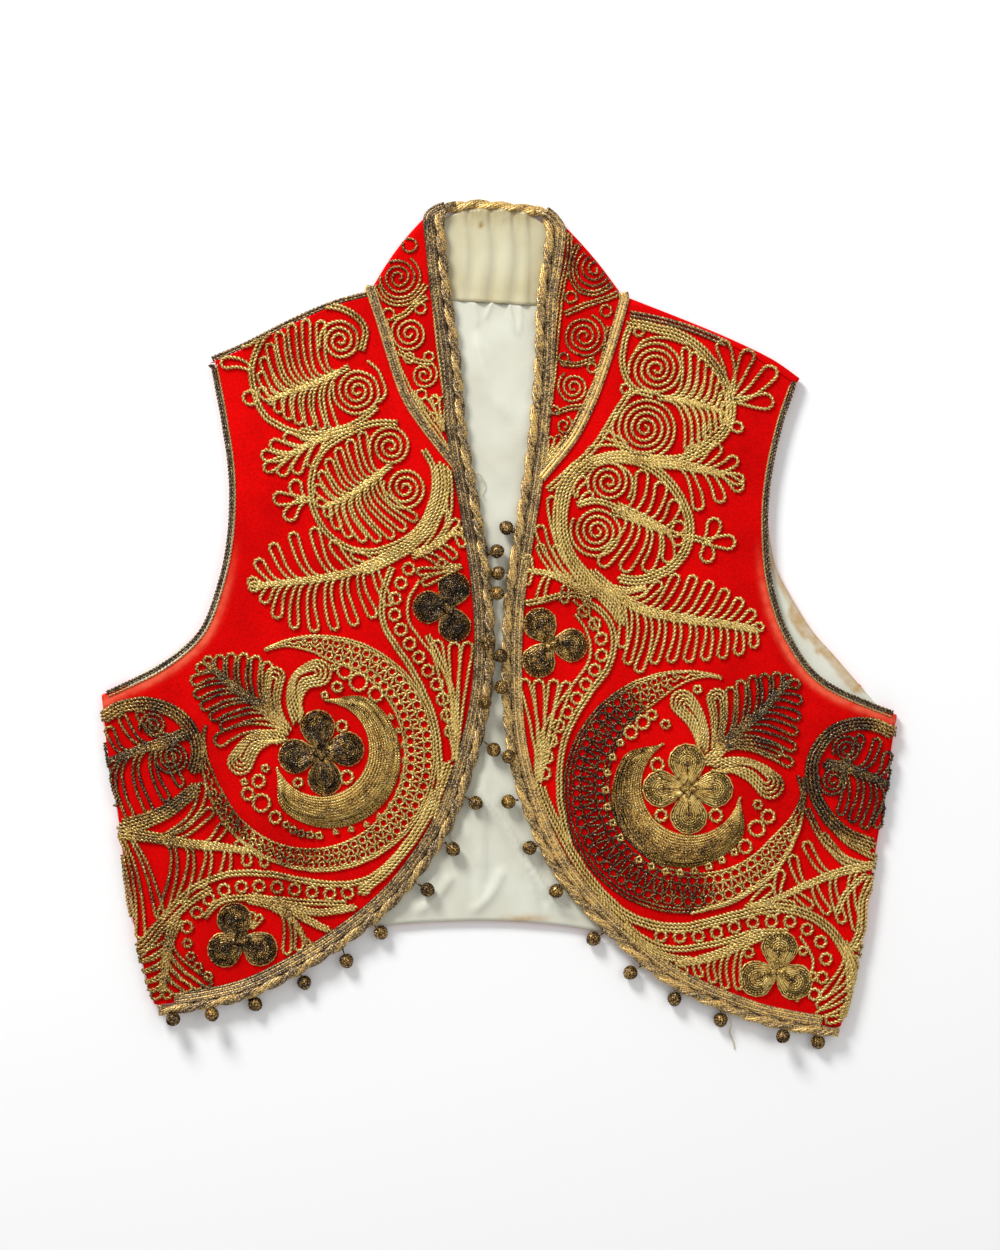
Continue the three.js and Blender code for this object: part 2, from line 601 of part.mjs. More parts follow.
// The rows of the collar's front part, from its tip to its fold.
function collarFrontRows(side) {
  const { axis, radius } = collarFold(side);
  const tip = COLLAR_SEAM[side].at(-1).y + 2;
  const seam = shifted(outwards(side, along(COLLAR_SEAM[side], 40)), -SEAM).reverse();
  const edge = shifted(outwards(side, ropeLine[side]), ROPE_GAP).reverse();
  const [neck, top] = outwards(side, [axis[0], axis.at(-1)]);
  const seamSide = resample([...seam.filter((p) => p.y >= tip && p.y < neck.y - 3), neck], COLLAR_FRONT);
  const freeSide = resample([...edge.filter((p) => p.y >= tip - 3 && p.y < top.y - 4), top], COLLAR_FRONT);
  const level = UNDER + 2 * radius;
  return seamSide.map((from, i) =>
    Array.from({ length: COLLAR_ACROSS + 1 }, (_, k) => {
      const t = k / COLLAR_ACROSS;
      const straight = mix2(from, freeSide[i], t);
      const onAxis = point(SIGN[side] * axis[k].x, axis[k].y);
      const chord = mix2(neck, top, t);
      const bowed = smooth(COLLAR_FRONT - 3, COLLAR_FRONT, i);
      const out = straight.x + (onAxis.x - chord.x) * bowed;
      const y = straight.y + (onAxis.y - chord.y) * bowed;
      const height = mix(crown(SIGN[side] * out, y), level, bowed);
      return new THREE.Vector3(SIGN[side] * out, y, height);
    }),
  );
}

// The rows that carry the collar round its fold, from the top to the ground.
function collarTurnRows(side) {
  const { axis, out, radius } = collarFold(side);
  return [36, 72, 108, 144].map((degrees) => {
    const angle = THREE.MathUtils.degToRad(degrees);
    return axis.map((p) => new THREE.Vector3(
      p.x + out.x * radius * Math.sin(angle),
      p.y + out.y * radius * Math.sin(angle),
      UNDER + radius + radius * Math.cos(angle),
    ));
  });
}

function collar() {
  const right = collarFold("right").axis;
  const left = collarFold("left").axis;
  const seam = along(NECK_SEAM, 40);
  const top = along(COLLAR_TOP, 40);
  const backRows = Array.from({ length: COLLAR_BACK + 1 }, (_, i) => {
    const share = i / COLLAR_BACK;
    const ease = smooth(0, 0.3, share) * smooth(1, 0.7, share);
    return right.map((from, k) => {
      const t = k / COLLAR_ACROSS;
      const p = mix2(from, left[k], share);
      const low = yAt(seam, p.x);
      const high = yAt(top, p.x);
      const y = mix(p.y, mix(low, high, t), ease);
      return new THREE.Vector3(p.x, y, UNDER);
    });
  });
  const rows = [
    ...collarFrontRows("right"),
    ...collarTurnRows("right"),
    ...backRows,
    ...collarTurnRows("left").reverse(),
    ...collarFrontRows("left").reverse(),
  ];
  add("collar", wall(rows, VELVET, true), MATERIAL.velvet);
}

function collarLining() {
  const right = collarFold("right").axis;
  const left = collarFold("left").axis;
  const columns = 20;
  const middle = LINING_BASE + SATIN / 2;
  const rows = Array.from({ length: 6 }, (_, i) => {
    const t = mix(0.02, 0.98, i / 5);
    return Array.from({ length: columns + 1 }, (_, j) => {
      const share = mix(0.02, 0.98, j / columns);
      const p = mix2(pointAt(right, t), pointAt(left, t), share);
      const low = yAt(along(NECK_SEAM, 40), p.x) + 0.5;
      const high = yAt(along(COLLAR_TOP, 40), p.x) - 0.8;
      const inside = smooth(0, 0.3, share) * smooth(1, 0.7, share);
      const y = mix(p.y, mix(low, high, i / 5), inside);
      const seen = smooth(PLEAT.from, PLEAT.from + 6, p.x) * smooth(PLEAT.to, PLEAT.to - 6, p.x);
      const pleat = 0.5 + 0.5 * Math.sin((2 * Math.PI * p.x) / PLEAT.spacing + 0.7 * Math.sin(y / 9));
      return new THREE.Vector3(p.x, y, middle + seen * PLEAT.height * pleat);
    });
  });
  add("collar_lining", wall(rows, SATIN), MATERIAL.satin);
}

// ---------- the trim ----------
// A section of the rope: two round strands side by side, turned as far as the twist.
function ropeSection(turn) {
  const sides = 6;
  return Array.from({ length: sides }, (_, k) => {
    const angle = (2 * Math.PI * k) / sides;
    const toLobe = Math.abs(Math.cos(angle));
    const off = ROPE_SPREAD * Math.sqrt(Math.max(0, 1 - toLobe * toLobe));
    const reach = ROPE_SPREAD * toLobe + Math.sqrt(Math.max(0, ROPE_STRAND ** 2 - off ** 2));
    return [reach * Math.cos(angle + turn), reach * Math.sin(angle + turn)];
  });
}

function rope(name, path) {
  const turns = [0];
  for (let i = 1; i < path.length; i++) {
    turns.push(turns[i - 1] + (path[i].distanceTo(path[i - 1]) * 2 * Math.PI) / ROPE_PITCH);
  }
  add(name, bar(path, (i) => ropeSection(turns[i])), MATERIAL.agedGold);
}

// The rope's centre line down a front, after it has come round the collar's top corner.
function ropePath(side) {
  const neckEnd = side === "right" ? ROPE_NECK[0] : ROPE_NECK.at(-1);
  const gap = SIGN[side] * 0.4;
  const front = resample(ropeLine[side], 100);
  const down = front.map((p) => lay(side, SIGN[side] * p.x, p.y, ROPE_LIFT));
  const start = down[0];
  const corner = new THREE.CatmullRomCurve3([
    new THREE.Vector3(neckEnd.x + gap, neckEnd.y, ROPE_NECK_Z),
    new THREE.Vector3(mix(neckEnd.x, start.x, 0.62), mix(neckEnd.y, start.y, 0.16), ROPE_NECK_Z + 1.1),
    start,
    down[2],
  ], false, "centripetal");
  const turn = corner.getSpacedPoints(12).filter((p) => p.y > start.y + 1 || p.distanceTo(start) > 12);
  return [...turn.slice(0, 8), ...down];
}

function ropes() {
  for (const side of SIDES) rope(`rope_${side}`, ropePath(side));
  rope("rope_neck", along(ROPE_NECK, 9).map((p) => new THREE.Vector3(p.x, p.y, ROPE_NECK_Z)));
}

// The flat ribbed band, on the velvet beside the rope.
function band(side) {
  const half = BAND_WIDTH / 2;
  const centre = shifted(outwards(side, ropeLine[side]), ROPE_GAP + 0.2 + half);
  const [top, foot] = [COLLAR_FOLD[side].top.y - 8, centre.length - 4];
  const run = centre.filter((p, i) => p.y < top && i < foot);
  const line = resample(run, 56);
  const lift = VELVET / 2 + SEAM;
  const profile = [[-1, 0], [1, 0], [1, 0.7], [0.55, 1], [0, 0.8], [-0.55, 1], [-1, 0.7]];
  const path = line.map((p) => lay(side, p.x, p.y, lift));
  const section = () => profile.map(([s, u]) => [SIGN[side] * s * half, u * BAND_THICK]);
  const ordered = side === "right" ? () => section().reverse() : section;
  add(`band_${side}`, bar(path, ordered), MATERIAL.agedGold);
}

// ---------- cords on the seams and round the armholes ----------
function cord(name, path, radius, finish) {
  add(name, bar(path, round(radius, 6)), finish);
}

function armholeCord(side) {
  const first = FRONT_ROWS.side + FRONT_ROWS.turn;
  const edge = frontChains(side).outer.slice(first).reverse();
  const line = shifted(edge, CLOTH_INSET - BINDING_INSET).map((p) => lay(side, p.x, p.y));
  const end = line.pop();
  line.push(line.at(-1).clone().lerp(end, 0.75));
  cord(`armhole_cord_${side}`, line, BINDING, MATERIAL.darkGold);
}

function collarCord(side) {
  const lift = VELVET / 2 + SEAM + PIPING;
  const line = resample(outwards(side, along(COLLAR_SEAM[side], 40)).slice(3, -6), 16);
  cord(`collar_cord_${side}`, line.map((p) => lay(side, p.x, p.y, lift)), PIPING, MATERIAL.gold);
}

function shoulderCords() {
  const right = resample(shifted(along(SHOULDER.right, 40), BINDING_INSET).slice(3, -1), 14);
  cord("shoulder_cord_right", right.map((p) => new THREE.Vector3(p.x, p.y, 3.6)), PIPING, MATERIAL.agedGold);
  const lift = VELVET / 2 + SEAM + PIPING;
  const left = resample(along(LEFT_SHOULDER_SEAM, 40).slice(2, 24), 10);
  cord("shoulder_cord_left", left.map((p) => new THREE.Vector3(p.x, p.y, crown(p.x, p.y) + lift)), PIPING,
    MATERIAL.agedGold);
}

// ---------- padded embroidery ----------
const PADDING_LIFT = VELVET / 2 + SEAM;
const raised = (x, y, height) => new THREE.Vector3(x, y, crown(x, y) + PADDING_LIFT + height);

// A moon: rows along it from tip to tip, columns from its outer edge to its inner one.
function moon(side) {
  const size = MOON[side];
  const [dx, dy] = [size.holeX - size.x, size.holeY - size.y];
  const apart = Math.hypot(dx, dy);
  const opening = Math.atan2(dy, dx);
  const reach = (size.outer ** 2 - size.hole ** 2 + apart ** 2) / (2 * apart);
  const half = reach < size.outer ? Math.acos(reach / size.outer) : THREE.MathUtils.degToRad(30);
  const rowsCount = 22;
  const columns = [0, 0.25, 0.5, 0.75, 1];
  const grids = [1, 0].map((share) =>
    Array.from({ length: rowsCount + 1 }, (_, i) => {
      const angle = opening + mix(half * 1.12, 2 * Math.PI - half * 1.12, i / rowsCount);
      const ray = point(Math.cos(angle), Math.sin(angle));
      const toHole = dx * ray.x + dy * ray.y;
      const hole = toHole + Math.sqrt(Math.max(0, size.hole ** 2 - apart ** 2 + toHole ** 2));
      return columns.map((q) => {
        const radius = mix(size.outer, Math.min(hole, size.outer - 1.2), q);
        const thin = clamp((size.outer - hole) / 8, 0.25, 1);
        const height = 0.4 + size.height * thin * Math.sin(Math.PI * q);
        return raised(size.x + radius * ray.x, size.y + radius * ray.y, share * height);
      });
    }),
  );
  add(`moon_${side}`, shell(grids[0], grids[1], true), MATERIAL.gold);
}

// A flower's outline at a bearing: the farthest petal edge that the bearing meets.
function flowerReach(flower, angle) {
  const reaches = flower.bearings.map((bearing) => {
    const off = angle - THREE.MathUtils.degToRad(bearing);
    const side = flower.out * Math.sin(off);
    if (Math.cos(off) < 0 || Math.abs(side) > flower.petal) return 0;
    return flower.out * Math.cos(off) + Math.sqrt(flower.petal ** 2 - side ** 2);
  });
  return Math.max(flower.out * 0.5, ...reaches);
}

function flower(name, size) {
  const spokes = 28;
  const rings = [0.34, 0.7, 0.92, 1];
  const heights = [0.8, 1, 0.6, 0.15];
  const vertices = [raised(size.x, size.y, size.height * 0.55)];
  rings.forEach((share, i) => {
    for (let k = 0; k < spokes; k++) {
      const angle = (2 * Math.PI * k) / spokes;
      const reach = flowerReach(size, angle) * share;
      const waist = flowerReach(size, angle) / (size.out + size.petal);
      const height = size.height * heights[i] * mix(0.45, 1, waist);
      vertices.push(raised(size.x + reach * Math.cos(angle), size.y + reach * Math.sin(angle), height));
    }
  });
  const foot = vertices.length;
  for (let k = 0; k < spokes; k++) {
    const angle = (2 * Math.PI * k) / spokes;
    const reach = flowerReach(size, angle);
    vertices.push(raised(size.x + reach * Math.cos(angle), size.y + reach * Math.sin(angle), 0));
  }
  vertices.push(raised(size.x, size.y, 0));
  const ring = (i, k) => 1 + i * spokes + (k % spokes);
  const triangles = [];
  for (let k = 0; k < spokes; k++) {
    triangles.push([0, ring(0, k), ring(0, k + 1)]);
    for (let i = 0; i < rings.length; i++) {
      triangles.push([ring(i, k), ring(i + 1, k), ring(i + 1, k + 1)]);
      triangles.push([ring(i, k), ring(i + 1, k + 1), ring(i, k + 1)]);
    }
    triangles.push([vertices.length - 1, foot + ((k + 1) % spokes), foot + k]);
  }
  add(`flower_${name}`, geometryOf(vertices, triangles), MATERIAL[size.finish]);
}

// ---------- buttons ----------
// A thread ball with a short shank, its shank along +Y before it is turned.
function ballGeometry(reach) {
  const profile = [[0, -BUTTON]];
  for (const degrees of [-50, -15, 20, 52]) {
    const angle = THREE.MathUtils.degToRad(degrees);
    profile.push([BUTTON * Math.cos(angle), BUTTON * Math.sin(angle)]);
  }
  profile.push([SHANK, BUTTON * 0.95], [SHANK, reach], [0, reach]);
  return new THREE.LatheGeometry(profile.map(([x, y]) => new THREE.Vector2(x, y)), 8);
}

// A ball's height where it lies on the ropes.
function restingHeight(size, corners) {
  const heights = corners.map((p) => {
    const plan = Math.hypot(p.x - size.x, p.y - size.y);
    return plan < BUTTON_CLEAR ? p.z + Math.sqrt(BUTTON_CLEAR ** 2 - plan ** 2) : 0;
  });
  return Math.max(BUTTON_Z[size.on], ...heights);
}

const nearestTo = (centre, corners) =>
  corners.reduce((best, p) => (p.distanceToSquared(centre) < best.distanceToSquared(centre) ? p : best));

// The ball is moved clear of its rope, and its shank points at the rope's nearest strand.
function ballButton(side, index, size, ownRope, bothRopes) {
  const centre = new THREE.Vector3(size.x, size.y, BUTTON_Z[size.on]);
  if (size.on === "rope") centre.z = restingHeight(size, bothRopes);
  let held = nearestTo(centre, ownRope);
  for (let tries = 0; tries < 4 && held.distanceTo(centre) < BUTTON_CLEAR; tries++) {
    const away = centre.clone().sub(held);
    const reach = Math.sqrt(Math.max(0, BUTTON_CLEAR ** 2 - away.z ** 2)) / Math.hypot(away.x, away.y);
    centre.set(held.x + away.x * reach, held.y + away.y * reach, centre.z);
    held = nearestTo(centre, ownRope);
  }
  const towards = held.clone().sub(centre);
  const shank = Math.max(BUTTON + 0.1, towards.length() - SEAM - 0.05);
  const geometry = ballGeometry(shank);
  const turn = new THREE.Quaternion().setFromUnitVectors(new THREE.Vector3(0, 1, 0), towards.normalize());
  geometry.applyQuaternion(turn);
  geometry.translate(centre.x, centre.y, centre.z);
  add(`button_${side}_${String(index + 1).padStart(2, "0")}`, geometry, MATERIAL.darkGold);
}

function buttons() {
  const ropes = { right: cornersOf("rope_right"), left: cornersOf("rope_left") };
  const both = [...ropes.right, ...ropes.left];
  for (const side of SIDES) {
    BUTTONS[side].forEach((size, i) => ballButton(side, i, size, ropes[side], both));
  }
}

// ---------- the vest ----------
back();
lining();
for (const side of SIDES) front(side);
shoulderTurn();
collar();
collarLining();
ropes();
for (const side of SIDES) {
  band(side);
  armholeCord(side);
  collarCord(side);
  moon(side);
}
shoulderCords();
for (const [name, size] of Object.entries(FLOWER)) flower(name, size);
buttons();

// The origin is at the middle of the vest's footprint, on the ground.
part.updateMatrixWorld(true);
const box = new THREE.Box3().setFromObject(part, true);
part.position.set(-(box.min.x + box.max.x) / 2, -(box.min.y + box.max.y) / 2, -box.min.z);

export default part;
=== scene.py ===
"""An embroidered folk vest of red velvet, laid flat with its fronts up.

Sizes are in millimetres and become metres where a point is placed. The garment lies on
z = 0 with its neck towards +Y. "right" and "left" are the wearer's, so the right front
is at -X. The cloth follows the part's own surface: a front runs out from the middle,
turns round the side fold and comes back underneath.
"""

import math
import random
from math import cos, hypot, pi, radians, sin

import bmesh
import bpy
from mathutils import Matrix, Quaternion, Vector, noise


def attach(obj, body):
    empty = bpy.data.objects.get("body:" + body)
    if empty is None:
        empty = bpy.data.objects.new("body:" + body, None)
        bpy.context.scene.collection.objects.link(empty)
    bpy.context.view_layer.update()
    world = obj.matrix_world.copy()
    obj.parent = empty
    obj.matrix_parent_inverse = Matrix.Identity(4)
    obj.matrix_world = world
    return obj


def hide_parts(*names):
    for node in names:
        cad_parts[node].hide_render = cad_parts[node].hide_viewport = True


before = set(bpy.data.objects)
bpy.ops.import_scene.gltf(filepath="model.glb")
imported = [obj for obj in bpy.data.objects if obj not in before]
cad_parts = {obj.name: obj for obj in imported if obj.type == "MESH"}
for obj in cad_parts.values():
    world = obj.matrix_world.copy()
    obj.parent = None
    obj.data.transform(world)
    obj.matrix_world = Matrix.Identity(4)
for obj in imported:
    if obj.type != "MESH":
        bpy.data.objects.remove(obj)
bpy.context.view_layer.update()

# ---------- sizes ----------
MM = 0.001
SHIFT = (0.397, -8.596)  # from the tables' zero to the part's own
VELVET = 2.0  # velvet and its interlining
SATIN = 0.9
SEAM = 0.35  # gap between sewn pieces
UNDER = VELVET / 2
LINING_BASE = 2.3
CROWN_BASE = 5.3  # mid-height of the fronts
CROWN_RISE = 1.7
WRAP = 24.0  # how far a front's cloth runs past the side fold
WRAP_RISE = 10.5
ROPE_REACH = 2.9
ROPE_PITCH = 26.0
ROPE_LIFT = 1.3
ROPE_GAP = 3.3
BAND_WIDTH = 4.6
BAND_ON_FRONT = 150  # below this height the band lies on the front, above it on the collar
BINDING_INSET = 1.75
CLOTH_INSET = 3.6
BUTTON = 4.1  # a ball's radius
BUTTONS_A_SIDE = 14
FRAMED_HEIGHT = 687.5  # what the camera takes in
AIM_Y = 8.25  # where it looks, from the tables' zero
SIGN = {"right": -1, "left": 1}
SIDES = ("right", "left")


def records(columns, *rows):
    """Rows of a table as records with its columns' names."""
    return [dict(zip(columns.split(), row)) for row in rows]


# ---------- outlines, one pair of x and y for each point ----------
# The side fold, from the underarm to the hem's corner.
SIDE = {
    "right": [(-218.9, -28), (-216.2, -57.8), (-211.2, -88), (-206.3, -125.4), (-199.7, -165),
              (-191.4, -196.4), (-188, -206)],
    "left": [(218.9, -36), (215.1, -60.5), (210.1, -94.6), (204.6, -127.6), (198.6, -165),
             (191.4, -198), (185.6, -218)],
}
# A front's armhole, from the shoulder's tip to the underarm.
ARMHOLE = {
    "right": [(-160.1, 155.1), (-153.5, 121), (-149.1, 88), (-150.2, 55), (-156.2, 27.5),
              (-166.1, 4.4), (-187, -13.2), (-218.9, -28.6)],
    "left": [(164.5, 143.6), (155.7, 118.3), (149.1, 88), (147.4, 60.5), (150.2, 30.3),
             (160.1, 1.7), (179.3, -22), (218.9, -39.6)],
}
# The back's armhole, from the shoulder's tip to the side seam.
BACK_ARMHOLE = {
    "right": [(-157.2, 150), (-150.5, 120), (-147.2, 88), (-148.2, 56), (-154.2, 29),
              (-163.6, 6.4), (-183.6, -10.6), (-198.6, -18.6)],
    "left": [(160.8, 141), (153.7, 118.3), (147.1, 88), (146.9, 66), (150.6, 42.4),
             (156.2, 29.7), (170.5, 6.1), (182.6, -7.7), (197.6, -25.2)],
}
# The shoulder's outline, from the neck to its tip.
SHOULDER = {
    "right": [(-71, 192), (-91.9, 186.5), (-117.2, 175.5), (-138.6, 164.5), (-160.1, 155.1)],
    "left": [(67.1, 189.2), (100.7, 176), (127.1, 165), (149.6, 154), (164.5, 143.6)],
}
# The left shoulder's seam, where the back's cloth that comes over the fold ends.
SHOULDER_SEAM = [(69.6, 179), (88, 175.4), (106, 169.9), (124, 162.2), (143, 152.8), (159.5, 141.8)]
# The seam that sets the collar on a front, from the neck to the collar's tip.
COLLAR_SEAM = {
    "right": [(-71, 192), (-65.5, 176), (-60.5, 159.5), (-52.8, 136.4), (-43.5, 120.5), (-25.9, 97.9)],
    "left": [(68.2, 187), (64.4, 173.2), (58.9, 155.1), (50.6, 132), (40.2, 111.1), (25.3, 92.4)],
}
# The collar's fold: its neck end, its top end and how far it bulges.
COLLAR_FOLD = {
    "right": {"neck": (-71, 192.4), "top": (-39, 234.9), "bulge": 1.8},
    "left": {"neck": (67.1, 189.4), "top": (33, 230), "bulge": 1.2},
}
NECK_SEAM = [(-67.6, 189.6), (-27.5, 187), (0, 185.2), (22, 184.4), (63.8, 187)]
COLLAR_TOP = [(-37, 232.6), (-16, 234.2), (8, 233.6), (31, 228.4)]
# The back's hem, from one side seam to the other.
HEM = [(-168.4, -193.6), (-148.5, -181), (-110, -165.4), (-65.5, -156.6), (0, -154), (55, -159.9),
       (104.5, -173.6), (148.5, -193), (165.6, -204.4)]
# The rope's centre line down each front.
ROPE = {
    "right": [(-33.4, 231.5), (-31.9, 214), (-29.7, 192.5), (-24.2, 154), (-20.9, 115.5), (-13.2, 71.5),
              (-7.4, 33), (-5.4, 0), (-7.6, -33), (-15.4, -66), (-29.7, -103.4), (-55, -139.2),
              (-88, -166.7), (-129.2, -190.3), (-158, -199), (-186.5, -203)],
    "left": [(27.6, 224.5), (25.9, 207.9), (22.6, 187), (20.9, 143), (16.5, 99), (10.1, 57.8),
             (4.7, 19.2), (3.6, -27.5), (7.2, -63.3), (17.6, -99), (34.1, -130.4), (60.5, -159.5),
             (94.6, -187.6), (134.8, -205.2), (160, -211.6), (184.6, -215.2)],
}
ROPE_NECK = [(-24, 237.8), (-12, 239), (4, 237.4), (12, 236.6), (19, 235.6)]
ROPE_NECK_Z = ROPE_REACH + 0.15
# A moon is what an outer circle leaves round a hole off its centre, open towards a bearing.
MOON = {
    "right": {"x": -93, "y": -64.4, "outer": 38.6, "hole_x": -97.9, "hole_y": -59.4, "hole": 26.2,
              "height": 2.2, "opening": 143, "half_open": 47},
    "left": {"x": 100.7, "y": -85.2, "outer": 39.4, "hole_x": 104.6, "hole_y": -79.6, "hole": 27.2,
             "height": 2.2, "opening": 55, "half_open": 56},
}
# Padded flowers: centre, distance to the petals' middles, petal radius, bearings and tarnish.
FLOWER = {
    "right_centre": {"x": -97.8, "y": -61.6, "out": 14, "petal": 9.3, "bearings": (8, 98, 188, 278),
                     "height": 2.6, "dull": 0.82, "rim": 0.4},
    "left_centre": {"x": 102.8, "y": -81.4, "out": 14.6, "petal": 9.8, "bearings": (0, 92, 180, 272),
                    "height": 2.6, "dull": 0.2, "rim": 0.05},
    "right_chest": {"x": -28.2, "y": 18, "out": 10.6, "petal": 8.8, "bearings": (74, 180, 288),
                    "height": 2.4, "dull": 0.98, "rim": 0.5},
    "left_chest": {"x": 27.4, "y": -1.6, "out": 11.4, "petal": 9, "bearings": (-6, 118, 238),
                   "height": 2.4, "dull": 0.66, "rim": 0.2},
    "right_corner": {"x": -141.2, "y": -163.6, "out": 11, "petal": 9.4, "bearings": (112, 212, 332),
                     "height": 2.4, "dull": 0.78, "rim": 0.45},
    "left_corner": {"x": 151.4, "y": -180.4, "out": 11.6, "petal": 9.8, "bearings": (82, 204, 326),
                    "height": 2.4, "dull": 0.22, "rim": 0.08},
}
# The satin's creases: ends, sideways bow, half width and height.
CREASES = records(
    "x0 y0 x1 y1 bow width height",
    (-25, -68, 22, -150, -7, 3.4, 1.5),
    (-7, -66, -9, -132, 2, 3.2, 1.1),
    (14, -118, 42, -152, 4, 3.4, 1.3),
    (-46, -150, -26, -128, 2, 3.6, 1.2),
    (2, -124, -16, -150, -3, 3.2, 1.0),
    (-14, 168, 4, 120, 2, 4.5, 0.9),
)


# ---------- small helpers ----------
def clamp(value, low=0.0, high=1.0):
    return min(high, max(low, value))


def mix(a, b, t):
    return a + (b - a) * t


def between(p, q, t):
    return tuple(a + (b - a) * t for a, b in zip(p, q))


def smooth(low, high, value):
    t = clamp((value - low) / (high - low))
    return t * t * (3 - 2 * t)


def bell(value):
    return math.exp(-value * value)


def flowing(points, pieces=12):
    """A smooth line through a few points, in two or three dimensions."""
    line = []
    last = len(points) - 1
    for i in range(last):
        p0, p1, p2, p3 = (points[int(clamp(k, 0, last))] for k in (i - 1, i, i + 1, i + 2))
        for k in range(pieces):
            t = k / pieces
            line.append(tuple(
                b + 0.5 * t * (c - a + t * (2 * a - 5 * b + 4 * c - d + t * (3 * (b - c) + d - a)))
                for a, b, c, d in zip(p0, p1, p2, p3)))
    return line + [tuple(points[-1])]


def spaced(points, pieces=None, step=0.8):
    """The same line with evenly spaced points, so many or so far apart."""
    reached = [0.0]
    for p, q in zip(points, points[1:]):
        reached.append(reached[-1] + math.dist(p, q))
    pieces = pieces or max(2, round(reached[-1] / step))
    line = []
    at = 0
    for k in range(pieces + 1):
        wanted = reached[-1] * k / pieces
        while at < len(points) - 2 and reached[at + 1] < wanted:
            at += 1
        span = reached[at + 1] - reached[at]
        line.append(between(points[at], points[at + 1], (wanted - reached[at]) / span if span else 0.0))
    return line


def along(table, pieces):
    return spaced(flowing(table, 40), pieces)


def beside(line, distance):
    """A line moved sideways: positive is to the left of its direction."""
    moved = []
    for i, p in enumerate(line):
        q, r = line[max(0, i - 1)], line[min(len(line) - 1, i + 1)]
        length = hypot(r[0] - q[0], r[1] - q[1]) or 1.0
        moved.append((p[0] - (r[1] - q[1]) / length * distance, p[1] + (r[0] - q[0]) / length * distance))
    return moved


def share_of(line, t):
    at = clamp(t) * (len(line) - 1)
    k = min(len(line) - 2, int(at))
    return between(line[k], line[k + 1], at - k)


def x_at(points, y):
    """An outline's x at a height, for an outline that runs steadily up or down."""
    for p, q in zip(points, points[1:]):
        if (p[1] - y) * (q[1] - y) <= 0 and p[1] != q[1]:
            return mix(p[0], q[0], (y - p[1]) / (q[1] - p[1]))
    above = points[0][1] > points[-1][1]
    return points[0][0] if (y > points[0][1]) == above else points[-1][0]


def y_at(points, x):
    return x_at([(b, a) for a, b in points], x)


def polar(centre, radius, degrees):
    return (centre[0] + radius * cos(radians(degrees)), centre[1] + radius * sin(radians(degrees)))


def outwards(side, table):
    return [(SIGN[side] * p[0], p[1]) for p in table]


def rough(x, y, scale, seed=0.0):
    """Smooth random numbers from about -1 to 1 over the cloth, one wave for each scale in mm."""
    return noise.noise(Vector((x / scale, y / scale, seed)))


# ---------- the surface that the fronts and the collar share ----------
side_line = {side: along(SIDE[side], 60) for side in SIDES}
rope_line = {side: along(ROPE[side], 240) for side in SIDES}


def crown(x, y):
    """Mid-height of the upper cloth over a place."""
    hump = bell((abs(x) - 115) / 75) * bell((y + 20) / 150)
    return CROWN_BASE + CROWN_RISE * hump + 0.3 * sin(x / 31 + 0.8) * cos(y / 43 - 0.4)


def fold_row(side, y):
    outline = abs(x_at(side_line[side], y))
    radius = (crown(SIGN[side] * (outline - 3), y) - UNDER) / 2
    return radius, outline - VELVET / 2 - radius


FOLD_LOW, FOLD_HIGH = -260, 260
folds = {side: [fold_row(side, y) for y in range(FOLD_LOW, FOLD_HIGH + 1)] for side in SIDES}


def fold_at(side, y):
    """The side fold's radius at a height, and how far out it starts."""
    return share_of(folds[side], (y - FOLD_LOW) / (FOLD_HIGH - FOLD_LOW))


def lay(side, out, y, lift=0.0):
    """A place on a front's cloth, carried on to the folded garment and lifted off it."""
    radius, start = fold_at(side, y)
    past = out - start
    if past <= 0:
        return (SIGN[side] * out, y, crown(SIGN[side] * out, y) + lift)
    climbed = y + WRAP_RISE * past / WRAP
    turn = past / radius
    lowest = UNDER + min(lift, 0.2)
    if turn >= pi:
        return (SIGN[side] * (start - (past - pi * radius)), climbed, lowest)
    height = max(lowest, UNDER + radius + (radius + lift) * cos(turn))
    return (SIGN[side] * (start + (radius + lift) * sin(turn)), climbed, height)


def over_front(x, y, lift):
    """A place seen from above, on the front's cloth or round its side fold."""
    side = "right" if x < 0 else "left"
    radius, start = fold_at(side, y)
    past = abs(x) - start
    if past > 0:
        reach = radius + UNDER
        past = radius * math.asin(past / reach) if past < reach else radius * pi / 2 + past - reach
        y -= WRAP_RISE * past / WRAP
    return lay(side, start + past, y, lift)


# ---------- making meshes ----------
def metres(p):
    return Vector(((p[0] + SHIFT[0]) * MM, (p[1] + SHIFT[1]) * MM, p[2] * MM))


def finished(name, mesh, material, slot, *stands_for):
    """The mesh as a piece of the vest, smooth and in its place."""
    mesh.polygons.foreach_set("use_smooth", [True] * len(mesh.polygons))
    piece = bpy.data.objects.new(name.replace(" ", "-"), mesh)
    bpy.context.scene.collection.objects.link(piece)
    piece.data.materials.append(material)
    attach(piece, "root")
    if stands_for:
        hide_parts(*stands_for)
    return piece


def meshed(work, name):
    """The bmesh as a mesh of its own; the bmesh is spent."""
    mesh = bpy.data.meshes.new(name)
    work.to_mesh(mesh)
    work.free()
    return mesh


def paint(mesh, name, values):
    """A number for each vertex, for the material to read."""
    layer = mesh.attributes.new(name, "FLOAT", "POINT")
    layer.data.foreach_set("value", values)


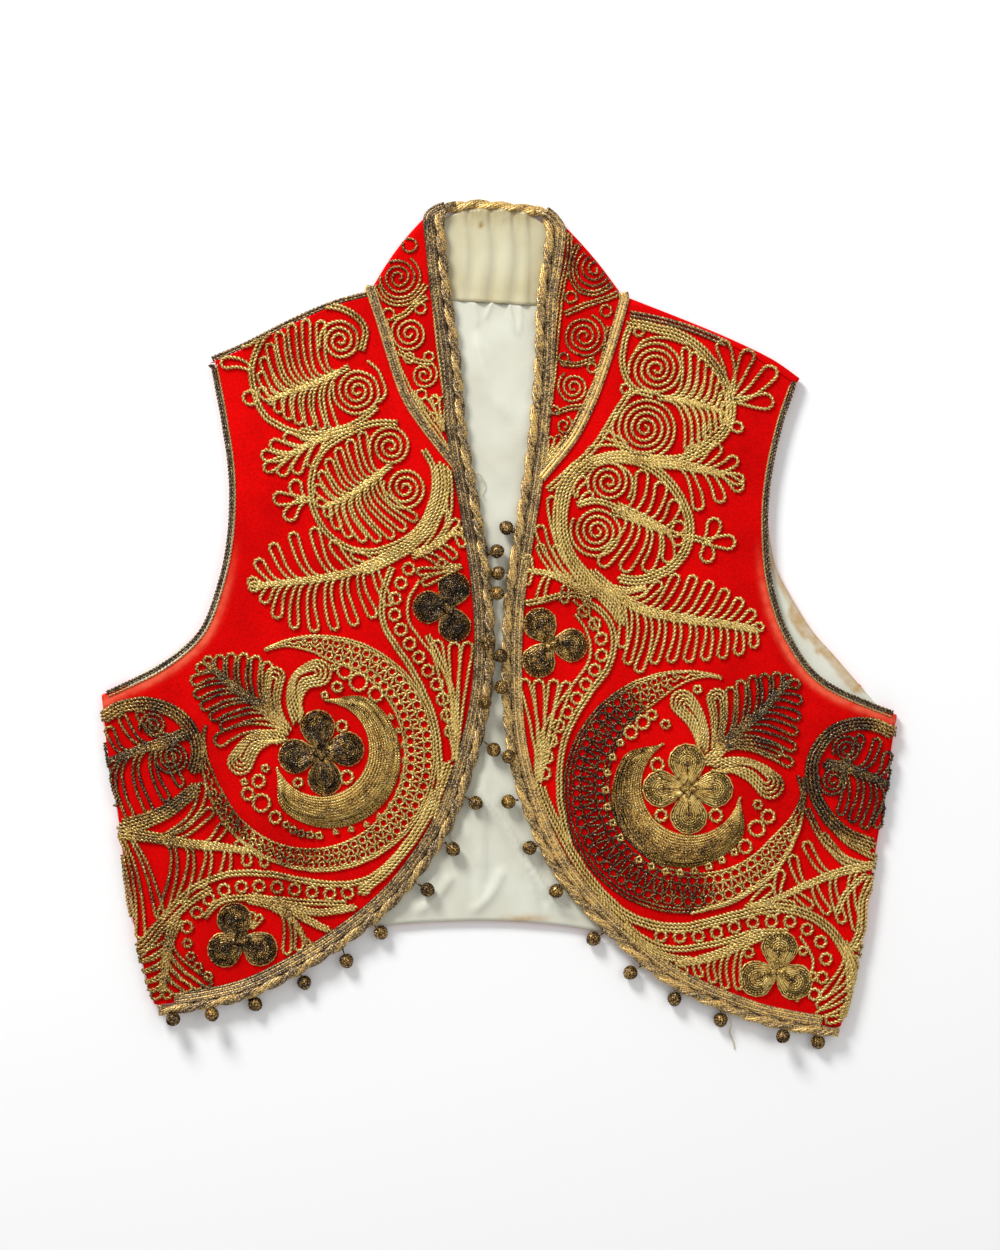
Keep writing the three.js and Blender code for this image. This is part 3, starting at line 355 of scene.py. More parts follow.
def cloth(name, rows, thickness, material, slot, stands_for, marks=None):
    """Cloth of even thickness about a grid of mid-surface points."""
    work = bmesh.new()
    layers = {key: work.verts.layers.float.new(key) for key in marks or {}}
    bmesh.ops.create_grid(work, x_segments=len(rows[0]) - 1, y_segments=len(rows) - 1, size=1)
    corners = sorted(work.verts, key=lambda v: (round(v.co.y, 4), round(v.co.x, 4)))
    flat = [p for row in rows for p in row]
    for corner, p in zip(corners, flat):
        corner.co = metres(p)
        for key, layer in layers.items():
            corner[layer] = marks[key](p)
    piece = finished(name, meshed(work, name), material, slot, *stands_for)
    shell = piece.modifiers.new("thickness", "SOLIDIFY")
    shell.thickness = thickness * MM
    shell.offset = 0
    return piece


def outline_cloth(name, outline, low, thickness, material, slot, stands_for):
    """Cloth that lies flat, cut to an outline, with its upper and lower edges softened."""
    work = bmesh.new()
    face = work.faces.new([work.verts.new(metres((x, y, low))) for x, y in outline])
    face.normal_update()
    if face.normal.z > 0:
        face.normal_flip()
    grown = bmesh.ops.extrude_face_region(work, geom=[face])["geom"]
    top = [v for v in grown if isinstance(v, bmesh.types.BMVert)]
    bmesh.ops.translate(work, verts=top, vec=(0, 0, thickness * MM))
    sharp = [e for e in work.edges if abs(e.verts[0].co.z - e.verts[1].co.z) < 1e-6]
    bmesh.ops.bevel(work, geom=sharp, affect="EDGES", offset=0.5 * MM, segments=3, profile=0.5, material=-1)
    bmesh.ops.recalc_face_normals(work, faces=work.faces[:])
    return finished(name, meshed(work, name), material, slot, *stands_for)


# ---------- making cords ----------
def cord_section(name, plies, corners):
    """The outline that a cord is drawn with, one unit in reach: round, or two plies side by side."""
    curve = bpy.data.curves.new(name, "CURVE")
    curve.dimensions = "2D"
    spline = curve.splines.new("POLY")
    spline.points.add(corners - 1)
    for k, corner in enumerate(spline.points):
        angle = 2 * pi * k / corners
        reach = 1.0 if plies == 1 else 0.7 + 0.3 * cos(2 * angle)
        corner.co = (reach * cos(angle), reach * sin(angle), 0, 1)
    spline.use_cyclic_u = True
    return bpy.data.objects.new(name, curve)


SECTION_CORNERS = 6
SECTIONS = {
    "twisted": cord_section("section of a twisted cord", 2, SECTION_CORNERS),
    "plain": cord_section("section of a plain cord", 1, SECTION_CORNERS),
}


def cords(name, lines, material, slot, *stands_for, kind="plain", pitch=4.6, shade_depth=0.85):
    """Cords as one piece. A line is (points, radius, dull): its points in mm, half its thickness
    and how tarnished it is, a number or a function of x and y. The last keyword sets how dark
    the shade painted between a twisted cord's plies is."""
    curve = bpy.data.curves.new(name, "CURVE")
    curve.dimensions = "3D"
    curve.bevel_mode = "OBJECT"
    curve.bevel_object = SECTIONS[kind]
    curve.twist_mode = "MINIMUM"
    dullness, groove_shades = [], []
    # A twisted cord's waist corners get painted shade, darkening the hollows between its plies.
    waist = [shade_depth if kind == "twisted" and k % 3 else 0.0 for k in range(SECTION_CORNERS)]
    for points, radius, dull in lines:
        spline = curve.splines.new("POLY")
        spline.points.add(len(points) - 1)
        placed, tilts = [], []
        turned = 0.0
        for k, p in enumerate(points):
            if k:
                turned += math.dist(p, points[k - 1]) / pitch * 2 * pi
            placed += [*metres(p), 1.0]
            tilts.append(turned)
            mark = dull(p[0], p[1]) if callable(dull) else dull
            dullness += [mark] * SECTION_CORNERS
            groove_shades += waist
        spline.points.foreach_set("co", placed)
        spline.points.foreach_set("radius", [radius * MM] * len(points))
        if kind == "twisted":
            spline.points.foreach_set("tilt", tilts)
    drawn = bpy.data.objects.new(name, curve)
    bpy.context.scene.collection.objects.link(drawn)
    bpy.context.view_layer.update()
    mesh = bpy.data.meshes.new_from_object(drawn.evaluated_get(bpy.context.evaluated_depsgraph_get()))
    bpy.data.objects.remove(drawn)
    mesh.name = name
    mesh.materials.clear()
    paint(mesh, "dull", dullness)
    paint(mesh, "groove_shade", groove_shades)
    work = bmesh.new()
    work.from_mesh(mesh)
    bmesh.ops.holes_fill(work, edges=[e for e in work.edges if e.is_boundary], sides=SECTION_CORNERS)
    work.to_mesh(mesh)
    work.free()
    return finished(name, mesh, material, slot, *stands_for)


# ---------- finishes ----------
def colour(code):
    """A colour from its sRGB hex code."""
    channels = [int(code[i:i + 2], 16) / 255 for i in (1, 3, 5)]
    linear = [c / 12.92 if c <= 0.04045 else ((c + 0.055) / 1.055) ** 2.4 for c in channels]
    return (*linear, 1.0)


def put(tree, kind, inputs=None, **settings):
    """Adds a node with its settings, values and links."""
    made = tree.nodes.new(kind)
    for key, value in settings.items():
        setattr(made, key, value)
    for key, value in (inputs or {}).items():
        if isinstance(value, bpy.types.NodeSocket):
            tree.links.new(value, made.inputs[key])
        else:
            made.inputs[key].default_value = value
    return made


def blank(name):
    """A new material with its surface shader and the object's own coordinates in metres."""
    made = bpy.data.materials.new(name)
    made.use_nodes = True
    tree = made.node_tree
    tree.nodes.clear()
    shader = put(tree, "ShaderNodeBsdfPrincipled")
    put(tree, "ShaderNodeOutputMaterial", {"Surface": shader.outputs["BSDF"]})
    where = put(tree, "ShaderNodeTexCoord").outputs["Object"]
    mapped = put(tree, "ShaderNodeMapping", {"Vector": where, "Scale": (1, 1, 1)}).outputs["Vector"]
    return made, tree, shader, mapped


def grain(tree, where, size, detail=2.0):
    """Noise whose patches are about so many millimetres across."""
    made = put(tree, "ShaderNodeTexNoise", {"Vector": where, "Scale": 1000 / size, "Detail": detail})
    return made.outputs["Fac"]


def ramp(tree, factor, stops):
    """Colours along a number, as pairs of place and hex code."""
    made = put(tree, "ShaderNodeValToRGB", {"Fac": factor})
    band = made.color_ramp
    while len(band.elements) < len(stops):
        band.elements.new(0.5)
    for element, (place, code) in zip(band.elements, stops):
        element.position = place
        element.color = colour(code)
    return made.outputs["Color"]


def blended(tree, factor, first, second, how="MIX"):
    inputs = {0: factor, 6: first, 7: second}
    return put(tree, "ShaderNodeMix", inputs, data_type="RGBA", blend_type=how).outputs[2]


def sum_of(tree, a, b, how="ADD", limit=False):
    return put(tree, "ShaderNodeMath", {0: a, 1: b}, operation=how, use_clamp=limit).outputs["Value"]


def red_velvet():
    """Worn silk velvet: saturated red, duller where the pile leans, pinkish where it has rubbed off."""
    made, tree, shader, where = blank("red silk velvet, rubbed at the armholes")
    nap = ramp(tree, grain(tree, where, 34, 3), [(0.3, "#CA0101"), (0.52, "#DE0202"), (0.72, "#EC0403")])
    fine = ramp(tree, grain(tree, where, 1.1), [(0.3, "#D9D9D9"), (0.7, "#FFFFFF")])
    pile = blended(tree, 1.0, nap, fine, "MULTIPLY")
    worn = put(tree, "ShaderNodeAttribute", attribute_name="worn").outputs["Fac"]
    patchy = sum_of(tree, worn, grain(tree, where, 6), "MULTIPLY")
    shown = blended(tree, sum_of(tree, patchy, 1.7, "MULTIPLY", True), pile, colour("#E85A40"))
    tree.links.new(shown, shader.inputs["Base Color"])
    shader.inputs["Roughness"].default_value = 0.88
    shader.inputs["Specular IOR Level"].default_value = 0.05
    shader.inputs["Sheen Weight"].default_value = 0.07
    shader.inputs["Sheen Roughness"].default_value = 0.45
    shader.inputs["Sheen Tint"].default_value = colour("#FF2412")
    bump = put(tree, "ShaderNodeBump", {"Height": grain(tree, where, 0.9), "Strength": 0.25,
                                        "Distance": 0.0003})
    tree.links.new(bump.outputs["Normal"], shader.inputs["Normal"])
    return made


def satin(name, light, deep, stain_and_shade):
    """Thin aged satin: pale and softly glossy, turned yellow in patches, and on the collar also
    darkened under its top cord by painted shade.
    """
    made, tree, shader, where = blank(name)
    aged = ramp(tree, grain(tree, where, 42, 3), [(0.35, deep), (0.62, light)])
    # This mark carries the satin's yellow marks, and on the collar also painted shade under its top cord.
    mark = put(tree, "ShaderNodeAttribute", attribute_name="stain_and_shade").outputs["Fac"]
    patchy = sum_of(tree, mark, sum_of(tree, grain(tree, where, 5, 3), 1.8, "MULTIPLY"), "MULTIPLY", True)
    shown = blended(tree, patchy, aged, colour(stain_and_shade))
    tree.links.new(shown, shader.inputs["Base Color"])
    shader.inputs["Roughness"].default_value = 0.3
    shader.inputs["Specular IOR Level"].default_value = 0.45
    shader.inputs["Sheen Weight"].default_value = 0.1
    bump = put(tree, "ShaderNodeBump", {"Height": grain(tree, where, 1.6), "Strength": 0.12,
                                        "Distance": 0.0003})
    tree.links.new(bump.outputs["Normal"], shader.inputs["Normal"])
    return made


def metal_thread(name, bright, middle, dark, roughness):
    """Gilt thread wound on silk: bright where it is clean, brown to black where it has tarnished,
    with painted shade between a twist's plies and painted sparkle highlights.
    """
    made, tree, shader, where = blank(name)
    dull = put(tree, "ShaderNodeAttribute", attribute_name="dull").outputs["Fac"]
    groove_shade = put(tree, "ShaderNodeAttribute", attribute_name="groove_shade").outputs["Fac"]
    patches = sum_of(tree, sum_of(tree, grain(tree, where, 5, 2), 0.5, "SUBTRACT"), 0.7, "MULTIPLY")
    specks = sum_of(tree, sum_of(tree, grain(tree, where, 0.8, 1), 0.5, "SUBTRACT"), 2.3, "MULTIPLY")
    total = sum_of(tree, sum_of(tree, dull, patches), specks, "ADD", True)
    tone = ramp(tree, total, [(0.1, bright), (0.5, middle), (0.9, dark)])
    # Painted shade: the hollows between a twist's plies are darkened towards near black.
    shaded = blended(tree, sum_of(tree, groove_shade, 0.72, "MULTIPLY"), tone, colour("#241507"))
    # Painted sparkle highlights: small pale gold spots, fewer where the thread is tarnished.
    painted_glint = sum_of(tree, grain(tree, where, 0.7, 0), 0.69, "GREATER_THAN")
    clean = sum_of(tree, 0.85, sum_of(tree, dull, 0.45, "MULTIPLY"), "SUBTRACT", True)
    shown = blended(tree, sum_of(tree, painted_glint, clean, "MULTIPLY"), shaded, colour("#F3E6B8"))
    tree.links.new(shown, shader.inputs["Base Color"])
    shader.inputs["Metallic"].default_value = 0.5
    shader.inputs["Roughness"].default_value = roughness
    bump = put(tree, "ShaderNodeBump", {"Height": grain(tree, where, 0.7), "Strength": 0.5,
                                        "Distance": 0.0002})
    tree.links.new(bump.outputs["Normal"], shader.inputs["Normal"])
    return made


VELVET_RED = red_velvet()
LINING_SATIN = satin("white lining satin", "#DFDFCF", "#CDCBB8", "#B98F4E")
# The collar's darker colour serves its yellowing, its dark mark and the painted shade under its top cord.
COLLAR_SATIN = satin("cream collar satin", "#CFC9AA", "#BCB188", "#8F7434")
GILT = metal_thread("gilt couching cord", "#FFDC7C", "#C28C34", "#281B13", 0.34)
TRIM = metal_thread("gilt and silk trim cord", "#EDC26C", "#957A55", "#3D2B1C", 0.4)

# ---------- the fronts ----------
FRONT_ROWS = {"side": 54, "turn": 14, "chest": 46, "collar": 36}
FINER = 6  # rows here for each row of the part's own solid
TURN_HEIGHTS = (-90, -74)


def velvet_edge(side, top):
    edge = beside(outwards(side, rope_line[side]), ROPE_GAP)
    return [p for p in edge if p[1] <= top][::-1]


def shoulder_edge(side):
    if side == "left":
        return beside(along(SHOULDER_SEAM, 24), -SEAM)
    return beside(outwards(side, along(SHOULDER["right"], 24)), -CLOTH_INSET)


def front_chains(side):
    """A front's inner and outer edges, row by row from the hem up."""
    rows = FRONT_ROWS
    tip = COLLAR_SEAM[side][-1][1]
    edge = velvet_edge(side, tip)
    seam = beside(outwards(side, along(COLLAR_SEAM[side], 40)), SEAM)[::-1]
    shoulder = shoulder_edge(side)
    armhole = beside(outwards(side, along(ARMHOLE[side], 60)), -CLOTH_INSET)[::-1]
    top = armhole[0][1]
    hem = abs(SIDE[side][-1][1])
    heights = [mix(-hem + 2, top, k / 29) for k in range(30)]
    seamline = [(fold_at(side, y)[1] + WRAP, y) for y in heights]
    corner = (armhole[0][0], top)
    outer = spaced(seamline, rows["side"])
    outer += spaced([seamline[-1], corner], rows["turn"])[1:]
    outer += spaced([*armhole[1:-1], shoulder[-1]], rows["chest"] + rows["collar"])[1:]
    low, high = TURN_HEIGHTS
    inner = spaced([p for p in edge if p[1] <= low], rows["side"])
    inner += spaced([p for p in edge if low <= p[1] <= high], rows["turn"])[1:]
    inner += spaced([*[p for p in edge if high <= p[1] <= tip - 3], seam[0]], rows["chest"])[1:]
    inner += spaced([*seam[:-1], shoulder[0]], rows["collar"])[1:]
    return inner, outer, shoulder


def fold_share(side, inner, outer):
    """How far along a row the side fold starts, or its last few millimetres."""
    least = 1 - 4 / math.dist(inner, outer)

    def past(t):
        p = between(inner, outer, t)
        return p[0] - fold_at(side, p[1])[1]

    if past(1) < 4:
        return least
    low, high = 0.0, 1.0
    for _ in range(24):
        middle = (low + high) / 2
        if past(middle) < 0:
            low = middle
        else:
            high = middle
    return min(low, least)


armhole_edge = {side: beside(along(ARMHOLE[side], 60), SIGN[side] * -CLOTH_INSET) for side in SIDES}


def rubbed(p):
    """How worn the pile is: along both armholes, most towards the underarm."""
    side = "right" if p[0] < 0 else "left"
    if p[2] < UNDER + 1 or p[1] > 110 or p[1] < -60:
        return 0.0
    away = min(math.dist(p[:2], q) for q in armhole_edge[side])
    return bell((away - 2.6) / 1.9) * smooth(60, 5, p[1]) * 1.2


def front(side):
    inner, outer, shoulder = front_chains(side)
    last = len(inner) - 1
    arched = spaced(shoulder, 80)
    steps, wraps = 46, 12
    rows = []
    for i, (start, end) in enumerate(zip(inner, outer)):
        fold = fold_share(side, start, end)
        shares = [fold * (k / steps) * (1.3 - 0.3 * k / steps) for k in range(steps + 1)]
        shares += [mix(fold, 1, (k + 1) / wraps) for k in range(wraps)]
        weight = smooth(last - 4 * FINER, last, i)
        row = []
        for share in shares:
            p = between(start, end, share)
            level = between(shoulder[0], shoulder[-1], share)
            arch = share_of(arched, share)
            row.append(lay(side, p[0] + (arch[0] - level[0]) * weight, p[1] + (arch[1] - level[1]) * weight))
        rows.append(row)
    return cloth(f"front {side}", rows, VELVET, VELVET_RED, "velvet", [f"front_{side}"], {"worn": rubbed})


# ---------- the back ----------
def side_seam(side, y):
    radius, start = fold_at(side, y - WRAP_RISE)
    return start - (WRAP - pi * radius)


def back_edge(side):
    foot = HEM[0 if side == "right" else -1][1]
    top = BACK_ARMHOLE[side][-1][1]
    seam = [(side_seam(side, y) - SEAM, y) for y in (mix(foot, top, k / 24) for k in range(25))]
    armhole = outwards(side, along(BACK_ARMHOLE[side], 60))[::-1]
    shoulder = beside(outwards(side, along(SHOULDER[side], 30)), -CLOTH_INSET - SEAM)[::-1]
    return [*seam, *armhole[1:-1], *shoulder[1:-1]]


def back():
    neck = beside(along(NECK_SEAM, 30), -SEAM)
    outline = [*back_edge("left"), *neck[1:-1][::-1], *outwards("right", back_edge("right"))[::-1],
               *along(HEM, 70)[1:-1]]
    return outline_cloth("back velvet", outline, 0, VELVET, VELVET_RED, "velvet", ["back"])


def shoulder_turn():
    """The back's cloth, where it comes over the left shoulder's fold to the front's seam."""
    stations = 60
    outline = spaced(along(SHOULDER["left"], 60), stations)
    seam = spaced(along(SHOULDER_SEAM, 60), stations)
    inside = beside(outline, -1)
    rows = []
    for edge, seam_point, q in zip(outline, seam, inside):
        inward = (q[0] - edge[0], q[1] - edge[1])
        radius = (crown(*edge) - UNDER) / 2
        inset = radius + VELVET / 2
        axis = (edge[0] + inward[0] * inset, edge[1] + inward[1] * inset)
        row = []
        over = (axis[0], axis[1], UNDER + 2 * radius)
        start = (*seam_point, crown(*seam_point))
        row += [between(start, over, k / 4) for k in range(4)]
        for k in range(13):
            out = radius * sin(pi * k / 12)
            row.append((axis[0] - inward[0] * out, axis[1] - inward[1] * out,
                        UNDER + radius + radius * cos(pi * k / 12)))
        row.append((edge[0] + inward[0] * CLOTH_INSET, edge[1] + inward[1] * CLOTH_INSET, UNDER))
        rows.append(row)
    return cloth("left shoulder turn", rows, VELVET, VELVET_RED, "velvet", ["shoulder_turn_left"])


# ---------- the linings ----------
# Small puckers and pulls of the satin, besides its main creases.
PULLS = records(
    "x0 y0 x1 y1 bow width height",
    (-14, 187, -12, 172, 0, 1.6, 0.5),
    (5, 186, 9, 168, 1, 1.5, 0.7),
    (11, 186, 10, 166, -1, 1.4, 0.6),
    (-4, 186, -8, 176, 0, 1.4, 0.5),
    (-20, 110, 16, 84, 3, 6, 0.5),
    (-14, 60, 8, 20, -2, 5, 0.5),
    (-3, -72, 20, -128, 5, 2.2, 0.7),
    (-22, -96, -12, -150, -4, 2.6, 0.8),
    (24, -112, 26, -152, -3, 2.6, 0.7),
    (-36, -128, -38, -152, 2, 2.4, 0.7),
)


def crease(x, y):
    """How high the satin stands at a place, calm beside the fronts' edges."""
    room = min(x - x_at(rope_line["right"], y), x_at(rope_line["left"], y) - x)
    calm = smooth(3, 15, room)
    highest = 0.0
    for table, gain in ((CREASES, 2.0), (PULLS, 1.8)):
        for fold in table:
            dx, dy = fold["x1"] - fold["x0"], fold["y1"] - fold["y0"]
            length = hypot(dx, dy)
            share = ((x - fold["x0"]) * dx + (y - fold["y0"]) * dy) / (length * length)
            if not -0.1 < share < 1.1:
                continue
            off = ((x - fold["x0"]) * dy - (y - fold["y0"]) * dx) / length
            off -= fold["bow"] * sin(pi * clamp(share))
            ends = smooth(-0.08, 0.18, share) * smooth(1.08, 0.82, share)
            ridge = 0.6 * bell(off / fold["width"]) + 0.4 * bell(off / fold["width"] * 2.6)
            highest = max(highest, gain * fold["height"] * ends * ridge)
    return calm * (highest + 0.35 + 0.35 * rough(x, y, 22, 3.0))


def lining_edge(side):
    armhole_top = outwards(side, BACK_ARMHOLE[side])[-1]
    armhole = beside(outwards(side, along(BACK_ARMHOLE[side], 40)), 0.1)[::-1]
    top = armhole_top[1] - 16
    corner = (fold_at(side, armhole_top[1])[1] - 4, top)
    foot = HEM[0 if side == "right" else -1][1]
    fold = [(fold_at(side, y)[1] - 1.5, y) for y in (mix(foot, top, k / 15) for k in range(16))]
    shoulder = beside(outwards(side, along(SHOULDER[side], 30)), -6)[::-1]
    return [*spaced(fold, 66), *spaced([corner, *armhole[:-3]], 54)[1:],
            *spaced([armhole[-3], *shoulder[2:-1]], 24)[1:]]


back_armhole = along(BACK_ARMHOLE["left"], 80)


def stained(p):
    """Yellow stains along the left back armhole and small marks by the hem."""
    hem = bell((p[0] - 14) / 12) * bell((p[1] + 153) / 2.2)
    if p[0] < 140:
        return 0.8 * hem
    away = min(math.dist(p[:2], q) for q in back_armhole)
    width = 3.4 + 3.2 * rough(p[0], p[1], 8, 2.0) + 3 * smooth(40, 5, p[1])
    return smooth(width, width - 1.6, away) * smooth(90, 50, p[1]) * 0.75


def lining():
    right, left = outwards("right", lining_edge("right")), lining_edge("left")
    last = len(right) - 1
    hem = along(HEM, 120)
    neck = beside(along(NECK_SEAM, 120), -0.3)
    middle = LINING_BASE + SATIN / 2
    shares = [0.3 * k / 8 for k in range(8)] + [mix(0.3, 0.7, k / 80) for k in range(80)]
    shares += [mix(0.7, 0.9, k / 5) for k in range(5)] + [mix(0.9, 1, k / 14) for k in range(15)]
    rows = []
    for i, (start, end) in enumerate(zip(right, left)):
        low = 1 - smooth(0, 42, i)
        high = smooth(last - 30, last, i)
        row = []
        for share in shares:
            x, y = between(start, end, share)
            y += low * (y_at(hem, x) - 0.3 - mix(right[0][1], left[0][1], share))
            y += high * (y_at(neck, x) - mix(right[last][1], left[last][1], share))
            row.append((x, y, middle + crease(x, y)))
        rows.append(row)
    return cloth("back lining", rows, SATIN, LINING_SATIN, "satin", ["lining"], {"stain_and_shade": stained})


# ---------- the collar ----------
COLLAR_MARGIN = 0.9  # how far inside the fold's outline the collar's trim keeps
COLLAR_ACROSS = 22
COLLAR_FRONT = 48
COLLAR_BACK = 36


def collar_fold(side):
    """The fold's axis inside the outline, the direction out from it and its radius."""
    fold = COLLAR_FOLD[side]
    (nx, ny), (tx, ty) = fold["neck"], fold["top"]
    length = hypot(tx - nx, ty - ny)
    out = (SIGN[side] * (ty - ny) / length, -SIGN[side] * (tx - nx) / length)
    radius = (crown((nx + tx) / 2, (ny + ty) / 2) - UNDER) / 2
    inset = radius + VELVET / 2
    axis = []
    for k in range(COLLAR_ACROSS + 1):
        t = k / COLLAR_ACROSS
        x, y = between(fold["neck"], fold["top"], mix(0.05, 0.95, t))
        push = fold["bulge"] * sin(pi * t) - inset
        axis.append((x + out[0] * push, y + out[1] * push))
    return axis, out, radius


def inside_fold(x, y):
    """How far inside the collar's folded outline a place lies."""
    side = "right" if x < 0 else "left"
    fold = COLLAR_FOLD[side]
    (nx, ny), (tx, ty) = fold["neck"], fold["top"]
    length = hypot(tx - nx, ty - ny)
    t = ((x - nx) * (tx - nx) + (y - ny) * (ty - ny)) / length ** 2
    straight = ((x - nx) * (ty - ny) - (y - ny) * (tx - nx)) / length
    return -SIGN[side] * straight + fold["bulge"] * sin(pi * clamp(t))


def over_collar(x, y, lift):
    """A place seen from above, on the collar's cloth or on the round of its fold."""
    radius = collar_fold("right" if x < 0 else "left")[2]
    past = radius + VELVET / 2 - inside_fold(x, y)
    if past <= 0:
        return (x, y, crown(x, y) + lift)
    return (x, y, UNDER + radius + math.sqrt(max(0.0, (radius + lift) ** 2 - past * past)))


def collar_front_rows(side):
    axis, _, radius = collar_fold(side)
    tip = COLLAR_SEAM[side][-1][1] + 2
    seam = beside(outwards(side, along(COLLAR_SEAM[side], 80)), -SEAM)[::-1]
    edge = beside(outwards(side, rope_line[side]), ROPE_GAP)[::-1]
    neck, top = outwards(side, [axis[0], axis[-1]])
    seam_side = spaced([*[p for p in seam if tip <= p[1] < neck[1] - 3], neck], COLLAR_FRONT)
    free_side = spaced([*[p for p in edge if tip - 3 <= p[1] < top[1] - 4], top], COLLAR_FRONT)
    level = UNDER + 2 * radius
    rows = []
    for i, (start, end) in enumerate(zip(seam_side, free_side)):
        bowed = smooth(COLLAR_FRONT * 5 / 8, COLLAR_FRONT, i)
        row = []
        for k, place in enumerate(axis):
            t = k / COLLAR_ACROSS
            straight = between(start, end, t)
            chord = between(neck, top, t)
            out = straight[0] + (SIGN[side] * place[0] - chord[0]) * bowed
            y = straight[1] + (place[1] - chord[1]) * bowed
            row.append((SIGN[side] * out, y, mix(crown(SIGN[side] * out, y), level, bowed)))
        rows.append(row)
    return rows


def collar_turn_rows(side):
    axis, out, radius = collar_fold(side)
    return [[(x + out[0] * radius * sin(pi * k / 16), y + out[1] * radius * sin(pi * k / 16),
              UNDER + radius + radius * cos(pi * k / 16)) for x, y in axis] for k in range(1, 16)]


def collar_back_rows():
    right, left = collar_fold("right")[0], collar_fold("left")[0]
    seam, top = along(NECK_SEAM, 40), along(COLLAR_TOP, 40)
    rows = []
    for i in range(COLLAR_BACK + 1):
        share = i / COLLAR_BACK
        ease = smooth(0, 0.3, share) * smooth(1, 0.7, share)
        row = []
        for k in range(COLLAR_ACROSS + 1):
            x, y = between(right[k], left[k], share)
            level = mix(y_at(seam, x), y_at(top, x), k / COLLAR_ACROSS)
            row.append((x, mix(y, level, ease), UNDER))
        rows.append(row)
    return rows


def collar():
    rows = [*collar_front_rows("right"), *collar_turn_rows("right"), *collar_back_rows(),
            *collar_turn_rows("left")[::-1], *collar_front_rows("left")[::-1]]
    return cloth("collar velvet", rows, VELVET, VELVET_RED, "velvet", ["collar"])


PLEAT = {"spacing": 12.5, "height": 1.9, "low": -24, "high": 18}


def yellowed_and_shaded(p):
    """The collar's satin turns yellow and darker towards its top, under its top cord: partly yellowing
    and partly painted shade there, with one small dark mark.
    """
    # Under the top cord: yellowing, with painted shade as well.
    top = smooth(224, 234, p[1])
    mark = bell((p[0] + 10.5) / 1.2) * bell((p[1] - 227.7) / 1.2)
    return 0.4 * top + 1.4 * mark


def collar_lining():
    right, left = collar_fold("right")[0], collar_fold("left")[0]
    seam, top = along(NECK_SEAM, 40), along(COLLAR_TOP, 40)
    middle = LINING_BASE + SATIN / 2
    across, up = 96, 26
    rows = []
    for i in range(up + 1):
        t = mix(0.02, 0.98, i / up)
        row = []
        for j in range(across + 1):
            share = mix(0.02, 0.98, j / across)
            x, y = between(share_of(right, t), share_of(left, t), share)
            inside = smooth(0, 0.3, share) * smooth(1, 0.7, share)
            y = mix(y, mix(y_at(seam, x) - 0.5, y_at(top, x) + 2.4, i / up), inside)
            seen = smooth(PLEAT["low"], PLEAT["low"] + 6, x) * smooth(PLEAT["high"], PLEAT["high"] - 6, x)
            wave = 0.5 + 0.5 * sin(2 * pi * x / PLEAT["spacing"] + 0.7 * sin(y / 9))
            pucker = smooth(0.72, 1, i / up) * 0.35 * sin(2 * pi * x / 4.2)
            hemmed = 0.5 * smooth(3, 0, i)
            row.append((x, y, middle + seen * (PLEAT["height"] * wave + pucker + 0.35) + hemmed))
        rows.append(row)
    return cloth("collar lining", rows, SATIN, COLLAR_SATIN, "satin", ["collar_lining"], {"stain_and_shade": yellowed_and_shaded})


# ---------- the trim ----------
def rope_path(side):
    """The rope's centre line from the turn at the collar's top down to the hem's corner."""
    end = ROPE_NECK[0] if side == "right" else ROPE_NECK[-1]
    down = [lay(side, SIGN[side] * x, y, ROPE_LIFT) for x, y in spaced(rope_line[side], 100)]
    start = down[0]
    corner = flowing([(end[0] + SIGN[side] * 0.4, end[1], ROPE_NECK_Z),
                      (mix(end[0], start[0], 0.62), mix(end[1], start[1], 0.16), ROPE_NECK_Z + 1.1), start,
                      down[2]])
    turn = [p for p in spaced(corner, 12) if p[1] > start[1] + 1]
    return spaced([*turn[:8], *down], step=1.5)


# A rope's plies: their bearing round the strand and distance from the rope's axis.
PLIES = [{"bearing": b, "reach": 1.3 + 1.05 * cos(1.45 * radians(b))} for b in (-60, -30, 0, 30, 60)]
PLY = 0.8  # half a ply's thickness
CORE = {"half": 1.3, "dull": 0.9}  # the dark core that the plies hide


def frames(path):
    """Each point with its sideways and upward directions."""
    found = []
    for k, p in enumerate(path):
        ahead = Vector(path[min(len(path) - 1, k + 1)]) - Vector(path[max(0, k - 1)])
        sideways = ahead.cross(Vector((0, 0, 1))).normalized()
        found.append((Vector(p), sideways, sideways.cross(ahead).normalized()))
    return found


def carried(path, sideways, up):
    """A line that keeps to one place beside a path."""
    return [tuple(p + s * sideways + u * up) for p, s, u in frames(path)]


def rope(name, path, strands_dull, stands_for):
    """Two flat strands of parallel plies, twisted round each other."""
    turned = 0.0
    lines = [[] for _ in range(2 * len(PLIES))]
    before = Vector(path[0])
    for p, sideways, up in frames(path):
        turned += (p - before).length / ROPE_PITCH * 360
        before = p
        for strand in (0, 1):
            for k, ply in enumerate(PLIES):
                angle = radians(turned + 180 * strand + ply["bearing"])
                spot = p + (sideways * cos(angle) + up * sin(angle)) * ply["reach"]
                lines[strand * len(PLIES) + k].append(tuple(spot))
    drawn = [(line, PLY, strands_dull[k // len(PLIES)] + 0.2 * (k % 2)) for k, line in enumerate(lines)]
    drawn.append((path, CORE["half"], CORE["dull"]))
    return cords(name, drawn, TRIM, "aged_gold", stands_for)


# The cords of the band beside the rope: offset, half thickness and tarnish.
BAND_CORDS = {
    "right": [(-2.7, 0.8, 0.75), (-1.5, 0.76, 0.42), (-0.3, 0.8, 0.7), (0.9, 0.76, 0.45), (2.1, 0.85, 0.72)],
    "left": [(-2.7, 0.8, 0.6), (-1.5, 0.76, 0.26), (-0.3, 0.8, 0.52), (0.9, 0.76, 0.22), (2.1, 0.85, 0.45)],
}


